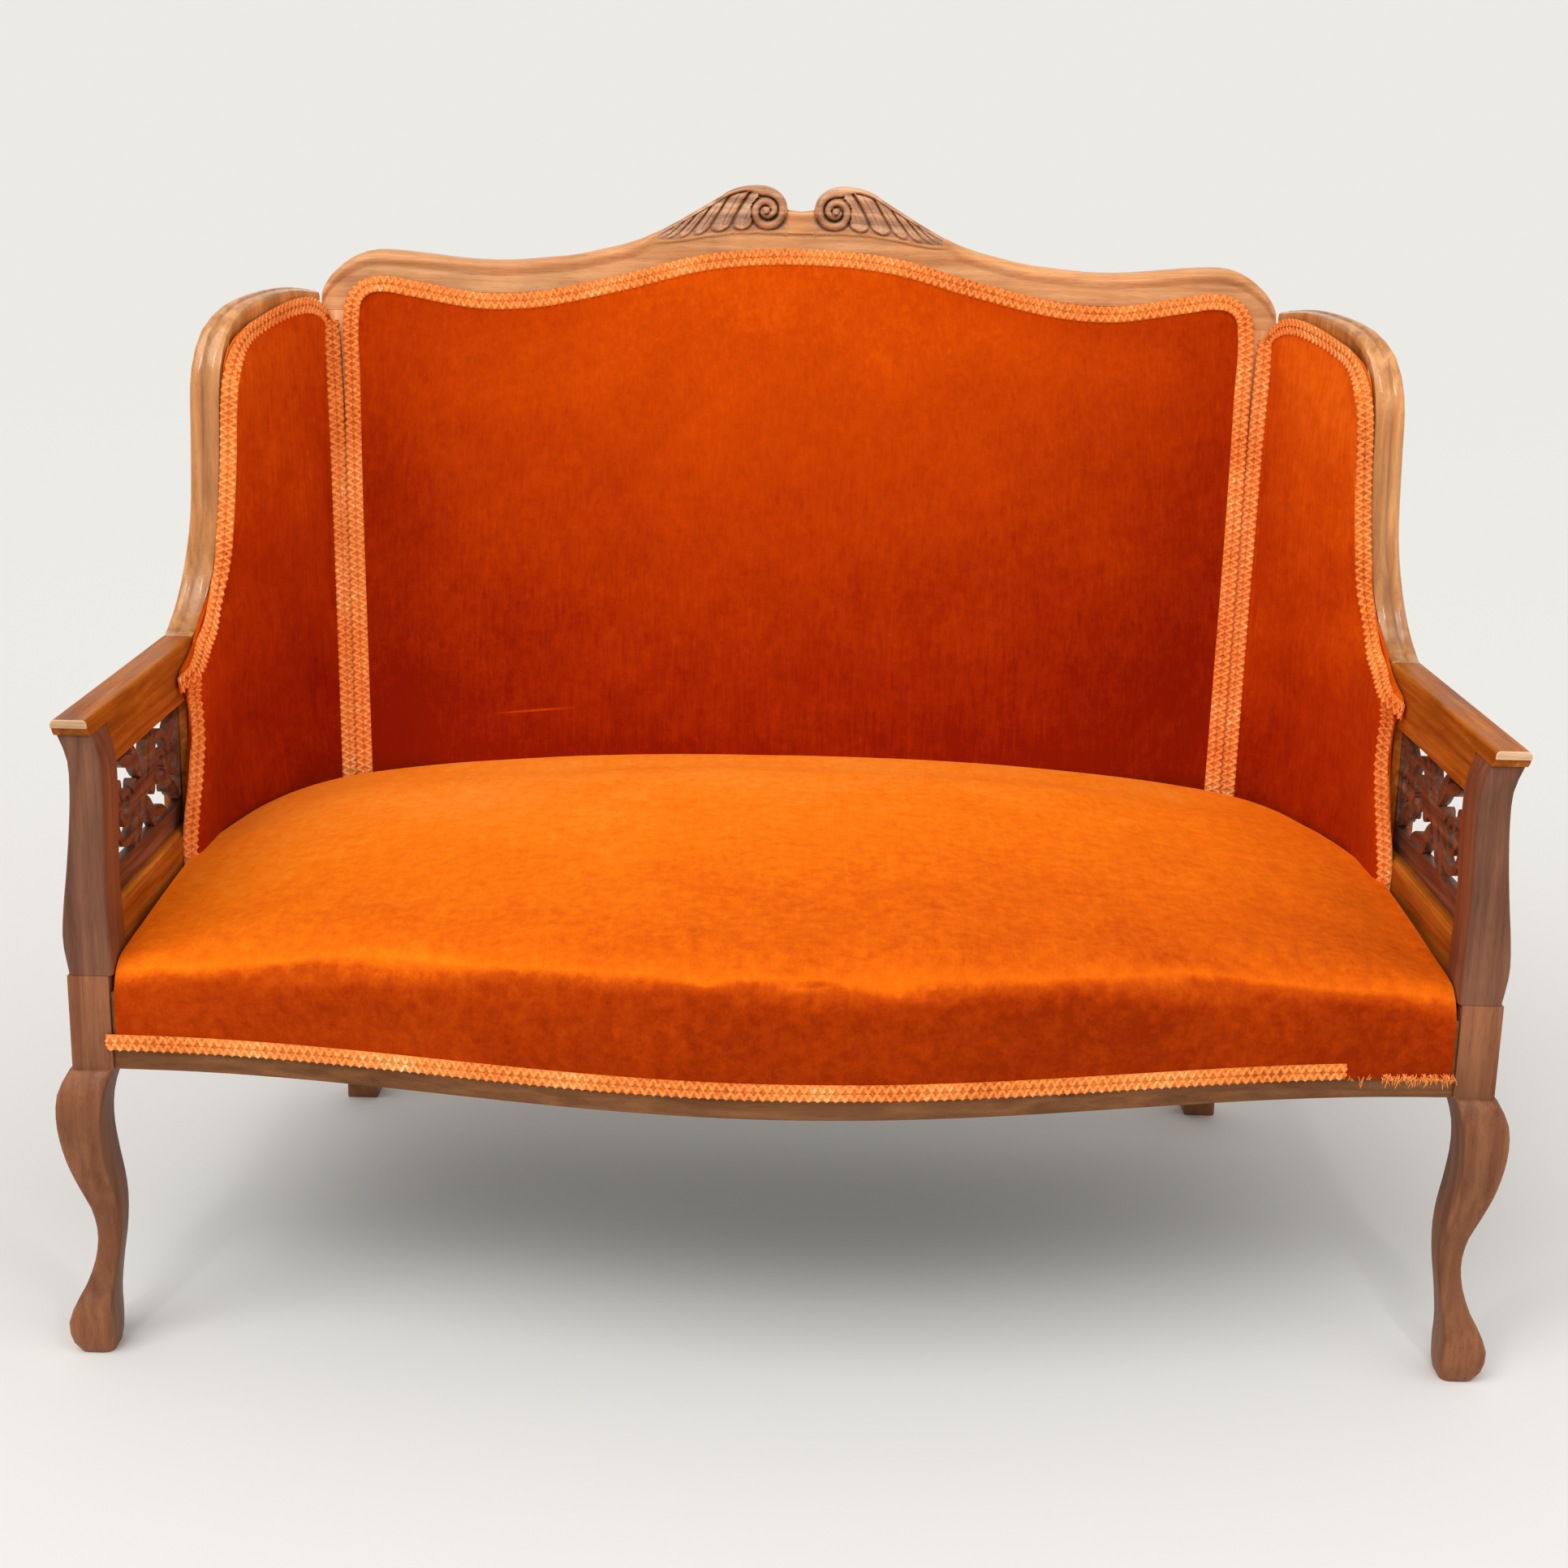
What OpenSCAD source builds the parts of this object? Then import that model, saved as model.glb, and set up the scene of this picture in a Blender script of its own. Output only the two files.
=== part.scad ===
// Two-seat show-wood settee with a serpentine front, upholstered wings and a carved crest.
// X runs along the settee, Y from the front to the back, Z up from the floor.

/* [Overall] */
// Width over the square blocks of the two front legs
frame_w = 1216; // [1120:1:1400]
// Height from the floor to the underside of the seat rails
leg_h = 264; // [230:1:300]
// Height from the floor to the top of the arms
arm_z = 574; // [550:1:620]
// Height from the floor to the top of the wings
wing_z = 893; // [860:1:915]
// Height from the floor to the top of the crest rail's shoulders
shoulder_z = 930; // [915:1:980]
// Width over the ends of the crest rail
crest_w = 989; // [940:1:1040]
// Depth from the front of the legs to the front of the back posts at rail height
seat_d = 502; // [470:1:560]
// Backward lean of the back, in degrees
back_rake = 9.65; // [6:0.05:14]

/* [Front legs] */
// Width of the square block at the top of each front leg
block_w = 35; // [32:1:42]
// Depth of that block, front to back
block_d = 48; // [42:1:58]
// Height of that block above the underside of the rails
block_h = 85; // [76:1:110]
// Swell of the knee past the block, outward and forward
knee_out = 13.5; // [8:0.5:18]
// Reach of the toe past the block, outward and forward
toe_out = 13.5; // [8:0.5:18]

/* [Arms] */
// Width of the arm rail
arm_w = 30; // [28:1:38]
// Depth of the arm rail behind the arm post
arm_h = 54; // [44:1:62]
// Distance that the arm's cap reaches past the arm post
cap_reach = 12; // [6:1:18]
// Height of the cap and its cove above the arm post
cap_h = 15; // [12:1:20]
// Length of the straight arm behind the front face of the legs
arm_len = 340; // [320:1:360]
// Narrowing of the arm post at its neck
post_neck = 10.5; // [4:0.5:14]
// Thickness of the pierced panel under the arm
fret_t = 9; // [7:0.5:14]
// Height of the plain rail under the pierced panel
panel_rail_h = 64; // [50:1:80]
// Width of the upright behind the pierced panel
stile_w = 30; // [24:1:36]

/* [Seat rails] */
// Height of the seat rails
rail_h = 70; // [60:1:82]
// Thickness of the seat rails
rail_t = 28; // [24:1:34]
// Distance that the middle of the front rail bows forward
rail_bow = 81; // [40:1:100]
// Step of the front rail behind the faces of the leg blocks
rail_step = 3; // [1:0.5:6]
// Leg length of the triangular glue blocks in the corners
glue_block = 46; // [36:1:60]

/* [Back] */
// Width of each back post, seen from the front
post_w = 36; // [30:1:42]
// Thickness of the back frame, front to back
back_t = 30; // [24:1:38]
// Distance between the centres of the back posts at seat height
post_gap = 903; // [870:1:930]
// Distance between the centres of the back feet
foot_gap = 940; // [900:1:980]
// Side of each square back foot
foot_w = 34; // [28:1:40]
// Distance that the back feet stand behind the foot of the back
foot_back = 82; // [50:1:110]
// Height of the joint between a back post and the crest rail
joint_z = 868; // [850:1:880]
// Radius of the round scrolls on the crest
scroll_r = 21; // [17:0.5:24]
// Relief of the carving on the crest's face
carve_t = 6; // [4:0.5:9]

/* [Wings] */
// Distance from the front of the legs to the front of the wings
wing_y = 402; // [385:1:420]
// Depth of the wing's show moulding, front to back
wing_d = 28; // [22:1:34]
// Width of the step that the wing's covering is fixed in
rebate_w = 13; // [9:1:15]

/* [Upholstery] */
// Width of the braid that covers the tacks
braid_w = 15; // [10:0.5:18]
// Thickness of that braid
braid_t = 2.2; // [1:0.1:3.5]
// Thickness of velvet over a little padding
cover_t = 4; // [3:0.5:6]
// Bare wood left under the braid on the front rail
bare_wood = 19; // [12:1:26]
// Height of the seat's crown above the rails, along the middle
seat_crown = 93; // [70:1:110]
// Height of the seat above the rails at its sides
seat_side = 40; // [30:1:50]
// Radius of the roll along the seat's front edge
seat_roll = 32; // [20:1:40]
// Thickness of the padding in the middle of the back
back_crown = 24; // [12:1:34]
// Thickness of the padding in the middle of a wing
wing_crown = 14; // [6:1:20]
// Outward swell of the covering outside a wing
wing_swell = 12; // [4:1:18]

/* [Suspension] */
// Width of the woven webbing
web_w = 50; // [38:1:60]
// Thickness of the webbing
web_t = 1.6; // [1:0.1:2.5]
// Thickness of hessian and lining cloth
cloth_t = 1; // [0.6:0.1:1.5]
// Wire thickness of the coil springs
wire_d = 3.6; // [3:0.1:4.5]
// Radius of a spring at its ends
spring_r = 40; // [32:1:46]
// Radius of a spring at its waist
waist_r = 25; // [18:1:30]

/* [Hidden] */
// Clearance between pieces that lie on each other without a flat joint
clear = 0.3;
// Half the width over the leg blocks
half_w = frame_w / 2;
// Inner faces of the leg blocks
block_in = half_w - block_w;
// Centre line of the arms
arm_x = half_w - 2 - arm_w / 2;
arm_in = arm_x - arm_w / 2;
arm_out = arm_x + arm_w / 2;
// Faces of the side rails
side_out = half_w - 5;
side_in = side_out - rail_t;
side_x = (side_in + side_out) / 2;
rail_top = leg_h + rail_h;
ledge_z = rail_top + panel_rail_h;
fret_top = arm_z - arm_h;
// Lowest edge of the pads, just over the rails
pad_z = rail_top + 11;
post_half = post_w / 2;
crest_half = crest_w / 2;
crest_z = shoulder_z + 71;
seat_half = block_in - 4.5;
// Inward run of a wing from the arm to its end at the crest, and of its velvet low down
wing_end_w = 18;
spread = arm_x - crest_half - clear - wing_end_w / 2;
low_run = side_in - post_gap / 2 - post_half;
// Centre of each round scroll, and the far tip of the carved leaf beside it
scroll_x = 1.7 * scroll_r;
leaf_end = scroll_x + 112;

// Front plane of the back, at height z
function back_y(z) = seat_d + (z - leg_h) * tan(back_rake);

// The back posts stand plumb in the rails and spread above them
function post_x(z) = post_gap / 2
    + max(0, (z - pad_z) / (joint_z - pad_z)) * (crest_half - 21 - post_gap / 2);
function post_out(z) = post_x(z) + post_half - 1;

// Front face of the serpentine rail, at distance x from the middle
function bow_y(x) = rail_step - rail_bow * (1 + cos(180 * min(1, abs(x) / block_in))) / 2;

// Smooth line through hand-placed [position, value] pairs
function span(p, s, i = 0) = (i >= len(p) - 2 || s < p[i + 1][0]) ? i : span(p, s, i + 1);
function slope(p, i) = let (a = max(i - 1, 0), b = min(i + 1, len(p) - 1))
    (p[b][1] - p[a][1]) / (p[b][0] - p[a][0]);
function line(p, s) = let (i = span(p, s), h = p[i + 1][0] - p[i][0], t = (s - p[i][0]) / h)
    p[i][1] * (2 * t ^ 3 - 3 * t ^ 2 + 1) + slope(p, i) * h * (t ^ 3 - 2 * t ^ 2 + t)
    + p[i + 1][1] * (3 * t ^ 2 - 2 * t ^ 3) + slope(p, i + 1) * h * (t ^ 3 - t ^ 2);
function mix(a, b, t) = a + (b - a) * t;
function ease(t) = let (c = min(1, max(0, t))) c * c * (3 - 2 * c);
function bez(a, b, c, d, t) = a * (1 - t) ^ 3 + 3 * b * t * (1 - t) ^ 2
    + 3 * c * t ^ 2 * (1 - t) + d * t ^ 3;
function unit(v) = v / norm(v);

// Rounded rectangle between two corners, as a ring of points
function round_box(x0, x1, y0, y1, r, n = 4) = [
    for (c = [[x1 - r, y1 - r, 0], [x0 + r, y1 - r, 90], [x0 + r, y0 + r, 180], [x1 - r, y0 + r, 270]],
         k = [0 : n - 1])
        let (a = c[2] + 90 * k / (n - 1)) [c[0] + r * cos(a), c[1] + r * sin(a)]];

// Solid skin over a stack of equal rings, closed by a fan at each end
module skin(rings) {
    n = len(rings[0]);
    m = len(rings);
    first = [for (k = [0 : 2]) [for (p = rings[0]) p[k]] * [for (p = rings[0]) 1 / n]];
    last = [for (k = [0 : 2]) [for (p = rings[m - 1]) p[k]] * [for (p = rings[0]) 1 / n]];
    walls = [for (i = [0 : m - 2], j = [0 : n - 1])
        let (a = i * n + j, b = i * n + (j + 1) % n)
            each [[a, b + n, b], [a, a + n, b + n]]];
    ends = [for (j = [0 : n - 1])
        let (k = (j + 1) % n, top = (m - 1) * n)
            each [[m * n, j, k], [m * n + 1, top + k, top + j]]];
    polyhedron([for (r = rings, p = r) p, first, last], concat(walls, ends), 4);
}

// Solid sheet between an outer and an inner grid of points of the same size
module sheet(outer, inner) {
    m = len(outer);
    n = len(outer[0]);
    s = m * n;
    faces = [for (i = [0 : m - 2], j = [0 : n - 2])
        let (a = i * n + j, b = a + 1, c = a + n, d = c + 1)
            each [[a, c, d], [a, d, b], [s + a, s + d, s + c], [s + a, s + b, s + d]]];
    long = [for (i = [0 : m - 2])
        let (a = i * n, c = a + n, b = a + n - 1, d = c + n - 1)
            each [[a, s + c, c], [a, s + a, s + c], [b, d, s + d], [b, s + d, s + b]]];
    short = [for (j = [0 : n - 2])
        let (a = j, b = j + 1, c = (m - 1) * n + j, d = c + 1)
            each [[a, b, s + b], [a, s + b, s + a], [c, s + d, d], [c, s + c, s + d]]];
    polyhedron([for (r = outer, p = r) p, for (r = inner, p = r) p], concat(faces, long, short), 4);
}

// Everything is drawn for the right-hand side and mirrored for the left
module placed(side = 1) {
    translate([0, shift_y, 0])
        if (side < 0) mirror([1, 0, 0]) children();
        else children();
}

// Frame of the raked front plane of the back, with its foot at height z
module on_back(z) {
    translate([0, back_y(z), z]) rotate([-back_rake, 0, 0]) children();
}

// Board of thickness t lying behind that plane, drawn by its outline over height z
module back_board(z, t, behind = 0) {
    on_back(z) translate([0, behind, 0]) rotate([90, 0, 0]) mirror([0, 0, 1]) linear_extrude(t) children();
}

// Front leg: share of the leg's height, then swell of the outer and front face,
// step of the inner face and step of the rear face, all measured from the block
leg_line = [
    [0.00, [0.45 * toe_out, 12, 19]],
    [0.04, [0.85 * toe_out, 10, 17]],
    [0.11, [1.00 * toe_out, 10, 16]],
    [0.17, [0.62 * toe_out, 11, 15]],
    [0.23, [0.00, 10, 14]],
    [0.31, [-7.0, 7.5, 13]],
    [0.40, [-9.5, 4.5, 10]],
    [0.49, [-6.5, 4, 6]],
    [0.57, [0.00, 6, 4]],
    [0.68, [0.60 * knee_out, 9.5, 7]],
    [0.79, [0.95 * knee_out, 10.5, 13]],
    [0.88, [1.00 * knee_out, 9, 14]],
    [0.94, [0.80 * knee_out, 6, 9]],
    [1.00, [0.20 * knee_out, 1, 1]]];

module front_leg(side) {
    rings = 26;
    color("#7A4A34") placed(side) {
        skin([for (i = [0 : rings])
            let (t = i / rings, v = line(leg_line, t), r = mix(8, 4, ease(t * 5)))
                [for (p = round_box(block_in + v[1], half_w + v[0], -v[0], block_d - v[2], r))
                    [p[0], p[1], t * leg_h]]]);
        translate([block_in, 0, leg_h]) cube([block_w, block_d, block_h]);
    }
}

// Arm post: share of its height, then shift of its outer and inner face from the block
arm_post_line = [
    [0.00, [-1.5, -3.5]],
    [0.14, [2.5, -2.5]],
    [0.28, [0.5, -1.5]],
    [0.44, [-0.38 * post_neck, -1.5]],
    [0.62, [-0.78 * post_neck, -3]],
    [0.78, [-post_neck, -3.8]],
    [0.90, [-0.92 * post_neck, -2.5]],
    [1.00, [-0.2 * post_neck, 4]]];

module arm_post(side) {
    rings = 18;
    foot = leg_h + block_h;
    color("#7E4A30") placed(side)
        skin([for (i = [0 : rings])
            let (t = i / rings, v = line(arm_post_line, t))
                [for (p = round_box(block_in + v[1], half_w + v[0], 0, block_d, 3, 3))
                    [p[0], p[1], mix(foot, arm_z - cap_h, t)]]]);
}

// Arm rail: side profile with the cap and cove in front, cut to the rounded front profile
module arm_rail(side) {
    round_r = 4;
    lip = 7;
    color("#8A4A22") placed(side) intersection() {
        translate([arm_in, 0, 0]) rotate([90, 0, 90]) linear_extrude(arm_w) polygon([
            [-cap_reach, arm_z],
            [arm_len, arm_z],
            [arm_len, arm_z - arm_h],
            [block_d, arm_z - arm_h],
            [block_d, arm_z - cap_h],
            [0, arm_z - cap_h],
            [-cap_reach * 0.25, arm_z - cap_h],
            [-cap_reach * 0.6, arm_z - cap_h * 0.75],
            [-cap_reach * 0.8, arm_z - lip],
            [-cap_reach, arm_z - lip]]);
        translate([arm_x, arm_len + 1, arm_z - arm_h - 1]) rotate([90, 0, 0])
            linear_extrude(arm_len + cap_reach + 2)
                polygon([
                    [-arm_w / 2, 0],
                    [arm_w / 2, 0],
                    for (a = [0 : 18 : 90])
                        [arm_w / 2 - round_r + round_r * cos(a), arm_h + 1 - round_r + round_r * sin(a)],
                    for (a = [90 : 18 : 180])
                        [round_r - arm_w / 2 + round_r * cos(a), arm_h + 1 - round_r + round_r * sin(a)]]);
    }
}

// Plain rail under the pierced panel, with a bevelled ledge along its inner top edge
module panel_rail(side) {
    bevel = 5;
    color("#84441F") placed(side)
        translate([0, arm_len, 0]) rotate([90, 0, 0]) linear_extrude(arm_len - block_d) polygon([
            [side_in, rail_top],
            [side_out, rail_top],
            [side_out, ledge_z],
            [side_in + bevel, ledge_z],
            [side_in, ledge_z - bevel]]);
}

module arm_stile(side) {
    color("#84441F") placed(side)
        translate([side_in + 2, arm_len - stile_w, ledge_z])
            cube([rail_t - 2, stile_w, fret_top - ledge_z]);
}

// Flat scroll work of the pierced panel
module band(r, w, a0, a1) {
    steps = 8;
    intersection() {
        difference() {
            circle(r + w / 2, $fn = 48);
            circle(r - w / 2, $fn = 48);
        }
        polygon([[0, 0], for (k = [0 : steps])
            let (a = mix(a0, a1, k / steps)) 2 * r * [cos(a), sin(a)]]);
    }
}

module leaf(length, w) {
    r = (length * length / w + w) / 4;
    intersection() {
        translate([0, r - w / 2]) circle(r, $fn = 64);
        translate([0, w / 2 - r]) circle(r, $fn = 64);
    }
}

module scroll(r, w, start, sweep) {
    band(r, w, start, start + sweep);
    for (a = [start, start + sweep])
        translate(r * [cos(a), sin(a)]) circle(w * 0.8, $fn = 24);
}

// Leaf of the panel's figure, placed and lengthened with the window by u along it and k up it
module fret_leaf(x, y, turn, length, w, u, k) {
    translate([x * u, y * k]) rotate(atan2(k * sin(turn), u * cos(turn)))
        leaf(length * norm([u * cos(turn), k * sin(turn)]), w);
}

// Rear half of the panel's figure, drawn for a window of 248 by 91; the front half is the same
// turned half round
module fret_half(half_l, half_h) {
    k = half_h / 45.5;
    u = half_l / 124;
    grow = (u + k) / 2;
    translate([58 * u, 4 * k]) {
        scroll(31 * min(k, grow), 8, -50, 255);
        scroll(14 * min(k, grow), 7, 10, 290);
    }
    translate([104 * u, 0]) scroll(13 * grow, 6.5, 120, 290);
    // Place, turn, length and width of each leaf
    for (v = [
        [78.7, -3.5, -20, 20, 9],
        [22, 2, 24, 66, 15],
        [30, 34, 62, 34, 13],
        [22, -30, -52, 52, 14],
        [49, -36, -14, 50, 12],
        [91, 1, 6, 26, 7],
        [101, 30, 38, 48, 14],
        [102, -30, -36, 52, 13],
        [85, -16, -64, 40, 11]])
        fret_leaf(v[0], v[1], v[2], v[3], v[4], u, k);
}

module fretwork(side) {
    length = arm_len - stile_w - block_d;
    height = fret_top - ledge_z;
    foot = 24;
    edge = 7;
    corner = 10;
    half_l = length / 2 - edge;
    half_h = (height - foot - edge) / 2;
    color("#6E3A22") placed(side)
        translate([arm_x - 2 - fret_t / 2, block_d, ledge_z]) rotate([90, 0, 90]) linear_extrude(fret_t) {
            difference() {
                square([length, height]);
                translate([edge, foot]) window(2 * half_l, 2 * half_h, corner);
            }
            intersection() {
                square([length, height]);
                translate([length / 2, foot + half_h]) {
                    fret_half(half_l, half_h);
                    rotate(180) fret_half(half_l, half_h);
                    rotate(66) leaf(half_h * 2.3, 13);
                }
            }
        }
}

// Window with quarter-round corners
module window(w, h, r) {
    translate([r, 0]) square([w - 2 * r, h]);
    translate([0, r]) square([w, h - 2 * r]);
    for (x = [r, w - r], y = [r, h - r])
        translate([x, y]) circle(r, $fn = 32);
}

module front_seat_rail() {
    steps = 48;
    xs = [for (k = [0 : steps]) mix(-block_in, block_in, k / steps)];
    color("#744430") placed() translate([0, 0, leg_h]) linear_extrude(rail_h) polygon(concat(
        [for (x = xs) [x, bow_y(x)]],
        [for (k = [steps : -1 : 0]) [xs[k], bow_y(xs[k]) + rail_t]]));
}

// Plan of the side behind the arm, at share t of the way to the back post
function turn_line(f, r, straight, t) = bez(
    f,
    mix([f[0], mix(f[1], r[1], 0.62)], mix(f, r, 0.33), straight),
    mix([mix(f[0], r[0], 0.45), r[1]], mix(f, r, 0.67), straight),
    r, t);
function turn_edge(f, r, straight, offset, t) = let (e = 0.01,
    d = unit(turn_line(f, r, straight, min(1, t + e)) - turn_line(f, r, straight, max(0, t - e))))
    turn_line(f, r, straight, t) + offset * [d[1], -d[0]];

// Rail of height h with its foot at z, from y_start back along the arm and round to the post
module turned_rail(z, h, y_start, r) {
    steps = 12;
    half = rail_t / 2;
    f = [side_x, arm_len];
    translate([0, 0, z]) linear_extrude(h) polygon(concat(
        [[side_in, y_start], [side_out, y_start]],
        [for (k = [0 : steps]) if (y_start < arm_len || k > 0) turn_edge(f, r, 0, half, k / steps)],
        [for (k = [steps : -1 : 0]) if (y_start < arm_len || k > 0) turn_edge(f, r, 0, -half, k / steps)]));
}

module side_seat_rail(side) {
    color("#6E3E28") placed(side) turned_rail(leg_h, rail_h, block_d,
        [post_gap / 2 + post_half + clear, back_y(leg_h + rail_h / 2) + back_t / 2]);
}

// Rail inside the wing at arm height, from the upright to the back post
module wing_rail(side) {
    height = 28;
    outer = max(post_x(fret_top), post_x(fret_top - height)) + post_half;
    color("#6E3E28") placed(side)
        turned_rail(fret_top - height, height, arm_len,
            [outer + stile_out + clear, back_y(fret_top - height) + back_t / 2]);
}

module back_seat_rail() {
    inner = post_gap / 2 - post_half;
    color("#6E3E28") placed() translate([-inner, 0, 0]) rotate([90, 0, 90]) linear_extrude(2 * inner)
        polygon([
            [back_y(leg_h), leg_h],
            [back_y(leg_h) + back_t, leg_h],
            [back_y(rail_top) + back_t, rail_top],
            [back_y(rail_top), rail_top]]);
}

// Rail just over the seat, where the lower edge of the inside back is fixed
module back_tack_rail() {
    height = 40;
    a0 = post_x(pad_z) - post_half - clear;
    a1 = post_x(pad_z + height) - post_half - clear;
    color("#6E3E28") placed() back_board(pad_z, back_t * cos(back_rake))
        polygon([[-a0, 0], [a0, 0], [a1, height / cos(back_rake)], [-a1, height / cos(back_rake)]]);
}

// Back post: raked leg, plumb at the rails, leaning upright above
module back_post(side) {
    legs = 8;
    color("#7A4A34") placed(side) skin(concat(
        [for (i = [0 : legs])
            let (t = i / legs, z = t * leg_h, f = (1 - t) ^ 1.4,
                 x = mix(post_gap, foot_gap, f) / 2, w = mix(post_w, foot_w, f) / 2,
                 y = back_y(leg_h) + foot_back * f, d = mix(back_t, foot_w, f))
                [for (p = round_box(x - w, x + w, y, y + d, 2, 2)) [p[0], p[1], z]]],
        [for (z = [rail_top, pad_z, joint_z])
            [for (p = round_box(post_x(z) - post_half, post_x(z) + post_half,
                                back_y(z), back_y(z) + back_t, 2, 2)) [p[0], p[1], z]]]));
}

// Upright beside the back post that carries the rear edge of the wing
stile_out = 14;
module wing_stile(side) {
    inset = 3;
    color("#6E3E28") placed(side) skin([for (z = [pad_z, joint_z - 20])
        let (x0 = post_x(z) + post_half, x1 = x0 + stile_out, y0 = back_y(z) + inset,
             y1 = y0 + 0.6 * back_t)
            [[x1, y1, z], [x0, y1, z], [x0, y0, z], [x1, y0, z]]]);
}

// Crest rail: share of its half width, then height of its top edge over the shoulders
crest_top = [
    [0.000, 46], [0.030, 45], [0.050, 52], [0.075, 66], [0.100, 71], [0.135, 67.5],
    [0.165, 61], [0.185, 55.5], [0.237, 40], [0.292, 25], [0.351, 12.5], [0.413, 4.5],
    [0.478, -2.5], [0.535, -5.5], [0.617, -9], [0.700, -8], [0.773, -4.5], [0.843, -1.5],
    [0.900, -1.8], [0.944, -11], [0.980, -26], [0.994, -36], [1.000, -43]];
// The same for the upper edge of the inside back, share of the pad's half width
back_top = [
    [0.000, 8.5], [0.110, 6.5], [0.220, 0], [0.330, -13], [0.430, -25.5], [0.530, -36],
    [0.620, -41.5], [0.710, -42], [0.800, -36], [0.880, -29], [0.925, -27], [0.960, -31],
    [0.985, -42], [1.000, -60]];

function crest_up(x) = shoulder_z + line(crest_top, min(1, abs(x) / crest_half));
function pad_half(z) = post_x(min(z, joint_z)) - 3;
function pad_up(s) = shoulder_z + line(back_top, min(1, abs(s)));
// Lower edge of the crest rail, level where it stands on the posts
function crest_low(x) = let (inner = post_x(joint_z) - post_half,
    under = pad_up(abs(x) / pad_half(joint_z)) - 2 * braid_w)
    mix(under, joint_z, ease((abs(x) - inner * 0.86) / (inner * 0.12)));

// Spiral groove's ridge on the face of a round scroll, sunk a little in its ground
sunk = 1.2;
module scroll_spiral(r) {
    turns = 1.6;
    seg = 16;
    count = turns * seg;
    function rad(t) = mix(0.78, 0.16, t) * r;
    skin([for (i = [count : -1 : 0])
        let (t = i / count, a = -60 + 360 * i / seg, w = mix(0.2, 0.12, t) * r,
             u = [cos(a), 0, sin(a)], c = rad(t) * u)
            [c - w * u + [0, sunk, 0], c - 0.7 * w * u - [0, 1.7, 0],
             c + 0.7 * w * u - [0, 1.7, 0], c + w * u + [0, sunk, 0]]]);
}

// One lobe of the leaf: a tapering ridge from p0 past p1 to p2, w wide to each side
module crest_lobe(p0, p1, p2, w) {
    steps = 8;
    function way(t) = bez(p0, mix(p0, p1, 0.7), mix(p1, p2, 0.4), p2, t);
    skin([for (i = [steps : -1 : 0])
        let (t = i / steps, p = way(t), e = 0.02, d = unit(way(t + e) - p),
             n = [-d[1], d[0]], h = w * (0.25 + 0.75 * sin(180 * t ^ 0.8)))
            [for (q = [[-1, 0], [-0.75, 0.6], [-0.2, 1], [0.35, 0.8], [0.85, 0.3], [1, 0]])
                [p[0] + n[0] * h * q[0],
                 q[1] == 0 ? sunk : -q[1] * carve_t * (0.35 + 0.65 * sin(180 * t ^ 0.7)),
                 p[1] + n[1] * h * q[0]]]]);
}

// Scroll and leaf carved on one shoulder of the crest's peak
module crest_carving() {
    lobes = [
        [[20, 13], [33, 6], [32, -15], 8],
        [[38, 9], [58, 2], [57, -20], 9],
        [[59, -1], [77, -8], [78, -26], 8],
        [[77, -12], [93, -18], [96, -30], 6]];
    on_back(crest_z - scroll_r - 3) translate([scroll_x, 0, 0]) {
        rotate([-90, 0, 0]) translate([0, 0, -carve_t])
            cylinder(h = back_t * cos(back_rake) + carve_t, r = scroll_r, $fn = 48);
        translate([0, -carve_t, 0]) scroll_spiral(scroll_r);
        for (l = lobes) crest_lobe(l[0], l[1], l[2], l[3]);
        crest_lobe([18, 19], [56, 3], [leaf_end - scroll_x, -27], 4.5);
    }
}

// Stations along the crest lie closer together towards the rounded ends
crest_n = 34;
crest_xs = [for (k = [-crest_n : crest_n]) let (s = k / crest_n) crest_half * (1.45 * s - 0.45 * s ^ 3)];
// Rounding of the crest's top edges, sharp over the carving and soft beside it
crest_r = 3;

// Depth of the whole, used to centre the model over its footprint
front_y = braid_face(0) - braid_t;
rear_y = back_y(max([for (x = crest_xs) crest_up(x)]) - crest_r) + back_t;
shift_y = -(front_y + rear_y) / 2;

module crest_rail() {
    color("#8A5234") placed() {
        skin([for (x = crest_xs)
            let (hi = crest_up(x), lo = crest_low(x), mid = max(lo + 4, hi - 13),
                 plain = ease((abs(x) - leaf_end) / 20), r = mix(crest_r, 7, plain), nose = 2.5 * plain)
                [for (p = [
                    [0, lo],
                    [back_t, lo],
                    [back_t, hi - r],
                    [back_t - 0.3 * r, hi - 0.3 * r],
                    [back_t - r, hi],
                    [r - nose, hi],
                    [0.3 * r - nose, hi - 0.3 * r],
                    [-nose, hi - r],
                    [-nose, mid + 1.5],
                    [0, mid]])
                    [x, back_y(p[1]) + p[0], p[1]]]]);
        crest_carving();
        mirror([1, 0, 0]) crest_carving();
    }
}

// Seat gets its own height from the middle to the sides
function seat_lift(x, side_v, mid_v) = mix(mid_v, side_v, abs(x / seat_half) ^ 2.4);

// Rear edge of the seat round each corner: share of the way from the back post to the seat's
// side, then share of the way from the back to the arm
post_in = post_gap / 2 - post_half;
seat_rear_line = [[0.00, 0], [0.24, 0.025], [0.41, 0.086], [0.58, 0.222], [0.73, 0.444], [0.87, 0.772],
    [0.96, 1.11], [1.00, 1.346]];
function seat_rear(x, z) = let (
    s = max(0, min(1, (abs(x) - post_in) / (seat_half - post_in))),
    inset = (seat_d - arm_len) * line(seat_rear_line, s))
    back_y(z) - pad_lift - back_pad_t(min(abs(x), seat_half * 0.6), z) - 3 * clear - inset;

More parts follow.
